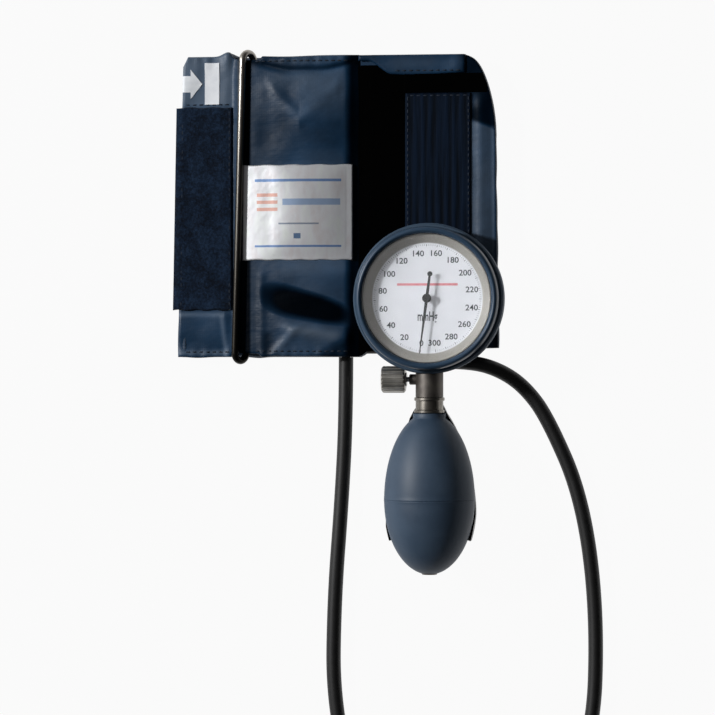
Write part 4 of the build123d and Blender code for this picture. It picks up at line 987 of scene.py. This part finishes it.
def print_on_strip(name, x, half, y_middle, thickness=0.28):
    """A flat print on the strip: columns at x with half-heights, laid at the strip's own height."""
    x, half = np.asarray(x, float), np.asarray(half, float)
    v = np.linspace(-1, 1, 17)
    px = x[:, None] + 0 * v
    py = y_middle + half[:, None] * v
    top = front_height(2 * px - lean_in(px, py), py) - 0.9 * fade(px, -76.6, -74.6) ** 2
    points = np.stack([np.stack([px, py, z], -1) for z in (top + thickness, top - 0.4)])
    finish_mesh(name, points, pad_faces(*px.shape), print_ink, sharp=30, slot="navy_nylon")


tail_end, head_start, tip = -76.0, -72.1, -66.5
shaft, head = np.linspace(tail_end, head_start, 9), np.linspace(head_start, tip, 7)
half_width = np.concatenate([0 * shaft + 3.9, 7.0 * (1 - (head - head_start) / (tip - head_start))])
print_on_strip("print_arrow", np.concatenate([shaft, head]), half_width, 108.6)
print_on_strip("print_bar", np.linspace(-65.3, -58.3, 12), np.full(12, 9.9), 108.75)

# %% [markdown]
# ## Seams
# Every pad and hem is held by a line of stitches. One stitch is a short capsule of a few faces, repeated
# along a line and laid on the cloth's own height.


# %% Stitches
thread_navy = mottled("sewing_thread_navy", "#0a1420", "#16263a", 900, (0.7, 0.85))


def stitch_line(name, start_at, end_at, height, step=3.0, size=(1.9, 0.32)):
    """Short capsules along a straight line in x and y: each is six-sided and pinched at its ends."""
    start_at, end_at = np.asarray(start_at, float), np.asarray(end_at, float)
    length = np.hypot(*(end_at - start_at))
    count = max(2, int(length / step))
    along = (end_at - start_at) / length
    side_way = np.array([-along[1], along[0]])
    centre = start_at + (np.arange(count) + 0.5)[:, None] / count * (end_at - start_at)
    lengthways = np.array([-0.5, -0.36, 0.36, 0.5]) * size[0]
    girth = np.array([0.25, 1.0, 1.0, 0.25])[:, None] * size[1]
    turn = np.linspace(0, 2 * np.pi, 6, endpoint=False)
    out, up = girth * np.cos(turn), girth * np.sin(turn) * 0.8
    xy = centre[:, None, None] + lengthways[None, :, None, None] * along + out[None, :, :, None] * side_way
    z = height(xy[..., 0], xy[..., 1]) + up[None] + 0.05
    points = np.concatenate([xy, z[..., None]], -1).reshape(-1, 3)
    ends = np.array([[0, 1, 2, 3], [0, 3, 4, 5], [18, 21, 20, 19], [18, 23, 22, 21]])
    one = np.concatenate([grid_faces(4, 6, wrap_columns=True), ends])
    faces = (one[None] + 24 * np.arange(count)[:, None, None]).reshape(-1, 4)
    finish_mesh(name, points, faces, thread_navy, sharp=0, slot="navy_nylon")


hook_top = level_at(12.1)
stitch_line("stitch_strip_top", (-75, 98.7), (-53, 98.7), front_height)
stitch_line("stitch_loop_right", (-53.2, 2), (-53.2, 96), level_at(10.4))
stitch_line("stitch_loop_left", (-76.6, 2), (-75.8, 96), level_at(10.35))
stitch_line("stitch_hook_top", (33, 101.9), (61.4, 101.9), hook_top)
stitch_line("stitch_hook_left", (32.6, -3), (32.6, 102), hook_top)
stitch_line("stitch_hook_right", (61.4, -3), (61.4, 102), hook_top)
stitch_line("stitch_panel_top", (-41, 118.9), (4.5, 118.9), front_height)
stitch_line("stitch_panel_bottom", (-41, -19.0), (4.5, -19.0), front_height)
stitch_line("stitch_strip_bottom", (-75, -19.4), (-53, -19.4), front_height)
stitch_line("stitch_band", (26, 113.8), (58, 113.8), band_height)

# %% [markdown]
# ## Ring
# The cuff's end slips through a bent wire ring with round ends. It is a circle of radius 1.7 mm carried
# along a long oval, and chrome over steel. Its colour is painted bright towards its upper end as a highlight
# and dark towards the lower one as shade.

# %% Ring
wire_chrome, tree, shader = start("chrome_plated_wire", Metallic=1.0)
where = places(tree)
# Painted highlight and shade: the colour runs from dark at the lower end to bright at the upper end.
highlight_upwards = scaled(tree, add(tree, "ShaderNodeSeparateXYZ", Vector=where).outputs["Y"], 0.0, 1.0, 0.0, 0.125)
tones = ramp(tree, highlight_upwards, [(0.0, "#2b2926"), (0.55, "#5a5752"), (1.0, "#a6a19a")])
join(tree, shader, Base_Color=tones, Roughness=scaled(tree, noise(tree, where, 120), 0.3, 0.44))

# The two legs in x and z, the wire's radius, and the oval's length and middle along y.
low_leg, top_leg = np.array([-43.8, 7.3]), np.array([-48.2, 13.3])
wire_radius, oval_length, oval_middle = 1.7, 150.0, 49.75
centre_xz, across = (low_leg + top_leg) / 2, (top_leg - low_leg) / 2
bend = np.hypot(*across)
half_straight = oval_length / 2 - wire_radius - bend
straight = np.linspace(-half_straight, half_straight, 40)
turn = np.linspace(np.pi / 2, -np.pi / 2, 24)[1:-1]
along = np.concatenate(
    [straight, half_straight + bend * np.cos(turn), straight[::-1], -half_straight - bend * np.cos(turn)]
)
over = np.concatenate([0 * straight + 1, np.sin(turn), 0 * straight - 1, -np.sin(turn)])
path = np.stack([centre_xz[0] + across[0] * over, oval_middle + along, centre_xz[1] + across[1] * over], -1)
turned = Matrix.Rotation(np.radians(-1.51), 3, "Z")
pivot = np.array([centre_xz[0], oval_middle, 0])
path = (path - pivot) @ np.array(turned).T + pivot

# Each circle of points stands square to the path; `steady` keeps it from twisting.
tangent = np.roll(path, -1, 0) - np.roll(path, 1, 0)
tangent /= np.linalg.norm(tangent, axis=1)[:, None]
steady = np.cross(np.array([across[0], 0, across[1]]) / bend, [0, 1, 0])
side_way = np.cross(tangent, np.cross(np.broadcast_to(steady, tangent.shape), tangent))
side_way /= np.linalg.norm(side_way, axis=1)[:, None]
up = np.cross(tangent, side_way)
angle = np.linspace(0, 2 * np.pi, 20, endpoint=False)[None, :, None]
circles = path[:, None] + wire_radius * (np.cos(angle) * side_way[:, None] + np.sin(angle) * up[:, None])
ring_faces = grid_faces(*circles.shape[:2], wrap_rows=True, wrap_columns=True)
finish_mesh(
    "ring_wire",
    circles,
    ring_faces,
    wire_chrome,
    body="ring",
    sharp=0,
    stands_for=("ring_bar",),
    slot="chrome_wire",
)

# %% [markdown]
# ## Gauge
# The gauge is a moulded cup with a screwed bezel. Its outer pieces are turned shapes; here the bezel is a
# profile of radius and height, eased at its corners and carried round the gauge's axis.

# %% Bezel
gauge = np.array([44.05, 5.6, 0.0])
bezel_abs = mottled("moulded_abs_slate_navy", "#243a50", "#2c455d", 60, (0.3, 0.42), (2600, 0.00003), IOR=1.5)
bezel_outside = [(31.8, 32.2), (33.4, 32.2), (33.4, 38.4), (32.9, 39.9), (31.9, 40.6)]
bezel_inside = [(31.2, 40.5), (30.3, 39.6), (30.3, 39.3), (31.8, 39.3)]
bezel_profile = rounded(bezel_outside + bezel_inside, [0, 0.3, 0.7, 0.7, 0.4, 0.35, 0.1, 0, 0])
facts = {"stands_for": ("bezel_ring",), "slot": "bezel_navy", "sharp": 60}
lathe("bezel_moulding", bezel_profile, gauge, "z", bezel_abs, 192, **facts)

# %% [markdown]
# ## Dial
# The dial is white enamel with black print: numbers every 20 and marks every 2 mmHg. Zero stands just left
# of straight down and the scale runs clockwise. Text is turned to a mesh before it is placed.

# %% Dial print
dial_enamel, tree, shader = start("baked_enamel_white", IOR=1.5)
where = places(tree)
cloud = noise(tree, where, 90)
# The plate is white; its turned-up wall, more than 25.5 mm from the axis, is painted a warmer grey as shade.
on_plane = add(tree, "ShaderNodeVectorMath", {"operation": "MULTIPLY"}, i0=where, i1=(1, 1, 0))
axis_at = (*(gauge[:2] * mm).tolist(), 0)
away = add(tree, "ShaderNodeVectorMath", {"operation": "DISTANCE"}, i0=on_plane.outputs[0], i1=axis_at)
wall = scaled(tree, away.outputs["Value"], 0.0, 1.0, 0.0255, 0.0261)
enamel = blend(tree, wall, ramp(tree, cloud, [(0.3, "#e2e1e6"), (0.7, "#eae9ee")]), colour("#8b8680"))
join(tree, shader, Base_Color=enamel, Roughness=scaled(tree, cloud, 0.28, 0.4))
bump(tree, shader, noise(tree, where, 3000, 2.0), 0.3, 0.00001)
dial_ink = mottled("printing_ink_grey", "#33363c", "#43464c", 500, (0.5, 0.7))
dial_red = mottled("printing_ink_red", "#d27d84", "#dd8f95", 500, (0.5, 0.7))
dial_top = 33.45
dish = [(1.2, 32.85), (29.85, 32.85), (29.85, 37.1), (29.3, 37.1), (25.9, dial_top), (1.2, dial_top)]
plate_profile = rounded(dish, [0, 0, 0.2, 0.3, 0.6, 0], 7)
facts = {"stands_for": ("dial",), "slot": "white_dial", "sharp": 50}
lathe("dial_dish", plate_profile, gauge, "z", dial_enamel, 160, **facts)


scale_end, number_step = 300, 20  # mmHg
zero_at, step_angle = 7.5, 22.9  # degrees clockwise from straight down, and between two numbers


def dial_angle(pressure):
    """Clockwise angle from straight down, in radians."""
    return np.radians(zero_at + step_angle * pressure / number_step)


def print_word(name, text, size, middle, squeeze):
    """A word as a thin mesh of ink, centred on a place of the dial and squeezed in width."""
    words = bpy.data.curves.new(name, "FONT")
    words.body, words.size = text, size * mm
    words.align_x, words.align_y = "CENTER", "CENTER"
    words.resolution_u = 3
    words.offset = 0.018 * size * mm
    words.extrude = 0.03 * mm
    holder = placed(name + "_text", words)
    mesh = bpy.data.meshes.new_from_object(holder)
    bpy.data.objects.remove(holder)
    spots = points_of(mesh) * (squeeze, 1, 1) + np.asarray(middle) * mm
    mesh.vertices.foreach_set("co", spots.ravel())
    mesh.materials.clear()
    mesh.materials.append(dial_ink)
    piece = placed(name, mesh)
    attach(piece, ROOT)


number_radius, print_height = 21.2, dial_top + 0.03
for pressure in range(0, scale_end + 1, number_step):
    angle = dial_angle(pressure)
    spot = np.array([-number_radius * np.sin(angle), -number_radius * np.cos(angle), print_height])
    print_word(f"dial_number_{pressure}", str(pressure), 3.8, gauge + spot, 1.05)
print_word("dial_unit", "mmHg", 6.2, gauge + np.array([0.0, -8.6, print_height]), 0.56)
box_faces = np.array([[0, 1, 2, 3], [4, 7, 6, 5], [0, 4, 5, 1], [1, 5, 6, 2], [2, 6, 7, 3], [3, 7, 4, 0]])


def strokes(name, pressures, inner, outer, width):
    """Radial marks: each is a thin box from an inner to an outer radius at a pressure's angle."""
    angle = dial_angle(np.asarray(pressures, float))[:, None]
    radius = np.array([inner, outer, outer, inner])
    across_way = np.array([-width, -width, width, width]) / 2
    x = -radius * np.sin(angle) - across_way * np.cos(angle)
    y = -radius * np.cos(angle) + across_way * np.sin(angle)
    low = np.stack([x, y, 0 * x + dial_top - 0.05], -1)
    high = low + np.array([0, 0, 0.08])
    points = np.concatenate([low, high], 1) + gauge
    faces = (box_faces[None] + 8 * np.arange(len(angle))[:, None, None]).reshape(-1, 4)
    finish_mesh(name, points, faces, dial_ink, sharp=30, slot="white_dial")


strokes("dial_marks_fine", [p for p in range(0, scale_end + 1, 2) if p % 10], 24.5, 25.3, 0.14)
strokes("dial_marks_ten", range(0, scale_end + 1, 10), 24.2, 25.3, 0.26)
corners = [(-14.2, 5.9), (14.2, 5.9), (14.2, 7.0), (-14.2, 7.0)]
red_line = np.array([(*corner, dial_top + z) for z in (-0.05, 0.03) for corner in corners])
finish_mesh("dial_red_line", red_line + gauge, box_faces, dial_red, sharp=30, slot="white_dial")

# %% [markdown]
# ## Bulb
# The bulb is dusty slate-blue rubber, moulded in two halves that meet in a faint seam. The seam is part of
# its profile: a shallow groove between two low lips.

# %% Bulb
bulb_rubber, tree, shader = start("moulded_rubber_slate", IOR=1.5, Specular_IOR_Level=0.42)
where = places(tree)
cloud = noise(tree, where, 55, 3.0)
tones = ramp(tree, cloud, [(0.35, "#34465a"), (0.7, "#405266")])
join(tree, shader, Base_Color=tones, Roughness=scaled(tree, cloud, 0.47, 0.57))
bump(tree, shader, noise(tree, where, 2400, 2.0), 0.35, 0.00004)
bulb_axis = np.array([44.05, 0.0, 24.0])
seam_y, neck_end, valve_end = -88.7, -48.25, -122.9
lip_angle = 0.06  # radians on each side of the seam that its lips take up


def bulb_profile(grow, neck):
    """Radius and place along the axis: two quarter ellipses, 41 mm up and 35.1 mm down from the seam."""
    wide = 21.3 + grow
    up = np.linspace(np.arccos(neck / wide), lip_angle, 40)
    down = np.linspace(-lip_angle, -np.arccos(4.0 / wide), 50)
    upper = np.stack([wide * np.cos(up), seam_y + (41.0 + grow) * np.sin(up)], -1)
    lower = np.stack([wide * np.cos(down), seam_y + (35.1 + grow) * np.sin(down)], -1)
    return upper, lower


upper, lower = bulb_profile(0, 7.75)
in_upper, in_lower = bulb_profile(-2.2, 4.5)
groove = [(21.34, 0.7), (21.42, 0.35), (21.36, 0.1), (21.2, 0), (21.36, -0.1), (21.42, -0.35), (21.34, -0.7)]
outside = [[(7.75, neck_end)], upper, np.array(groove) + [0, seam_y], lower, [(4.0, valve_end)]]
inside = [[(4.0, -113.2)], in_lower[::-1], in_upper[::-1], [(4.5, neck_end)]]
facts = {"stands_for": ("bulb",), "slot": "bulb_rubber", "sharp": 60}
lathe("bulb_rubber_body", np.concatenate(outside + inside), bulb_axis, "y", bulb_rubber, 128, **facts)

# %% [markdown]
# ## Pieces that keep their solid's own mesh
# Valve, collar, knob, case, guard, spoon and all that is inside the gauge have the right shapes already, so
# they only take a finish. The outer metal is plated brass that has dulled to a brownish grey.

# %% Finishes for the carried-over solids
watch_glass, tree, shader = start(
    "flat_watch_glass", Base_Color=colour("#f6f8f9"), IOR=1.5, Transmission_Weight=1.0
)
join(tree, shader, Roughness=scaled(tree, noise(tree, places(tree), 60), 0.0, 0.03))
# Lamp light passes straight through the glass, so the dial is bright and the pointer throws its shadow.
shadow_ray = add(tree, "ShaderNodeLightPath").outputs["Is Shadow Ray"]
clear = add(tree, "ShaderNodeBsdfTransparent", Color=(0.95, 0.96, 0.96, 1))
passing = add(tree, "ShaderNodeMixShader", Fac=shadow_ray, i1=shader.outputs[0], i2=clear.outputs[0])
join(tree, tree.nodes["Material Output"], Surface=passing.outputs[0])

metal, moulded = {"Metallic": 1.0}, {"IOR": 1.5}
# A finish's name, its two tones, waves per metre, roughness, grain and shader values, and its pieces.
finishes = [
    (("chrome_plated_steel", "#77736d", "#969189", 120, (0.3, 0.42), None, metal), "band_collar"),
    (
        ("nickel_plated_brass", "#56524f", "#75706b", 160, (0.46, 0.58), (900, 0.00004), metal),
        "hose_barb valve_body gland_nut inlet_valve",
    ),
    (("nickel_plated_knob", "#a5a29c", "#c4c1bb", 160, (0.3, 0.45), (900, 0.00004), metal), "release_knob"),
    (
        ("turned_brass", "#b08d4a", "#c7a560", 200, (0.3, 0.45), (1500, 0.00003), metal),
        "sector_gear capsule_stud feed_pipe lower_plate upper_plate plate_pillars outlet_seat",
    ),
    (("rolled_bronze", "#a0683a", "#b87c48", 200, (0.25, 0.35), (1500, 0.00002), metal), "hairspring"),
    (
        ("ground_steel", "#8e9094", "#a9abaf", 220, (0.25, 0.4), (1800, 0.00003), metal),
        "pinion_arbor rocking_shaft push_pin pillar_screws movement_screws valve_spindle inlet_ball "
        "spoon_screw",
    ),
    (("pressed_alloy", "#b3a374", "#c6b88a", 160, (0.3, 0.42), (1200, 0.00003), metal), "capsule"),
    (("black_lacquer", "#060606", "#0c0c0d", 300, (0.3, 0.45), (1500, 0.00002), {}), "pointer"),
    (("moulded_plastic_black", "#040405", "#09090b", 60, (0.3, 0.42), (2200, 0.00003), moulded), "spoon"),
    (
        ("pressed_rubber_black", "#0c0c0c", "#151515", 200, (0.6, 0.8), (1500, 0.00004), {}),
        "lens_gasket outlet_disc spindle_seal",
    ),
    (("moulded_abs_navy", "#141f30", "#1b293d", 60, (0.4, 0.52), (2600, 0.00003), moulded), "gauge_case"),
    (("moulded_rubber_navy", "#2a3e51", "#384e63", 80, (0.6, 0.75), (1800, 0.00005), moulded), "case_guard"),
]
worn_by = {"lens": watch_glass}
for (*look, values), names in finishes:
    worn_by.update(dict.fromkeys(names.split(), mottled(*look, **values)))
for name, material in worn_by.items():
    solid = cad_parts[name]
    if not solid.material_slots:
        solid.data.materials.append(material)
    for part in solid.material_slots:
        part.material = material
print("finished solids", len(worn_by))
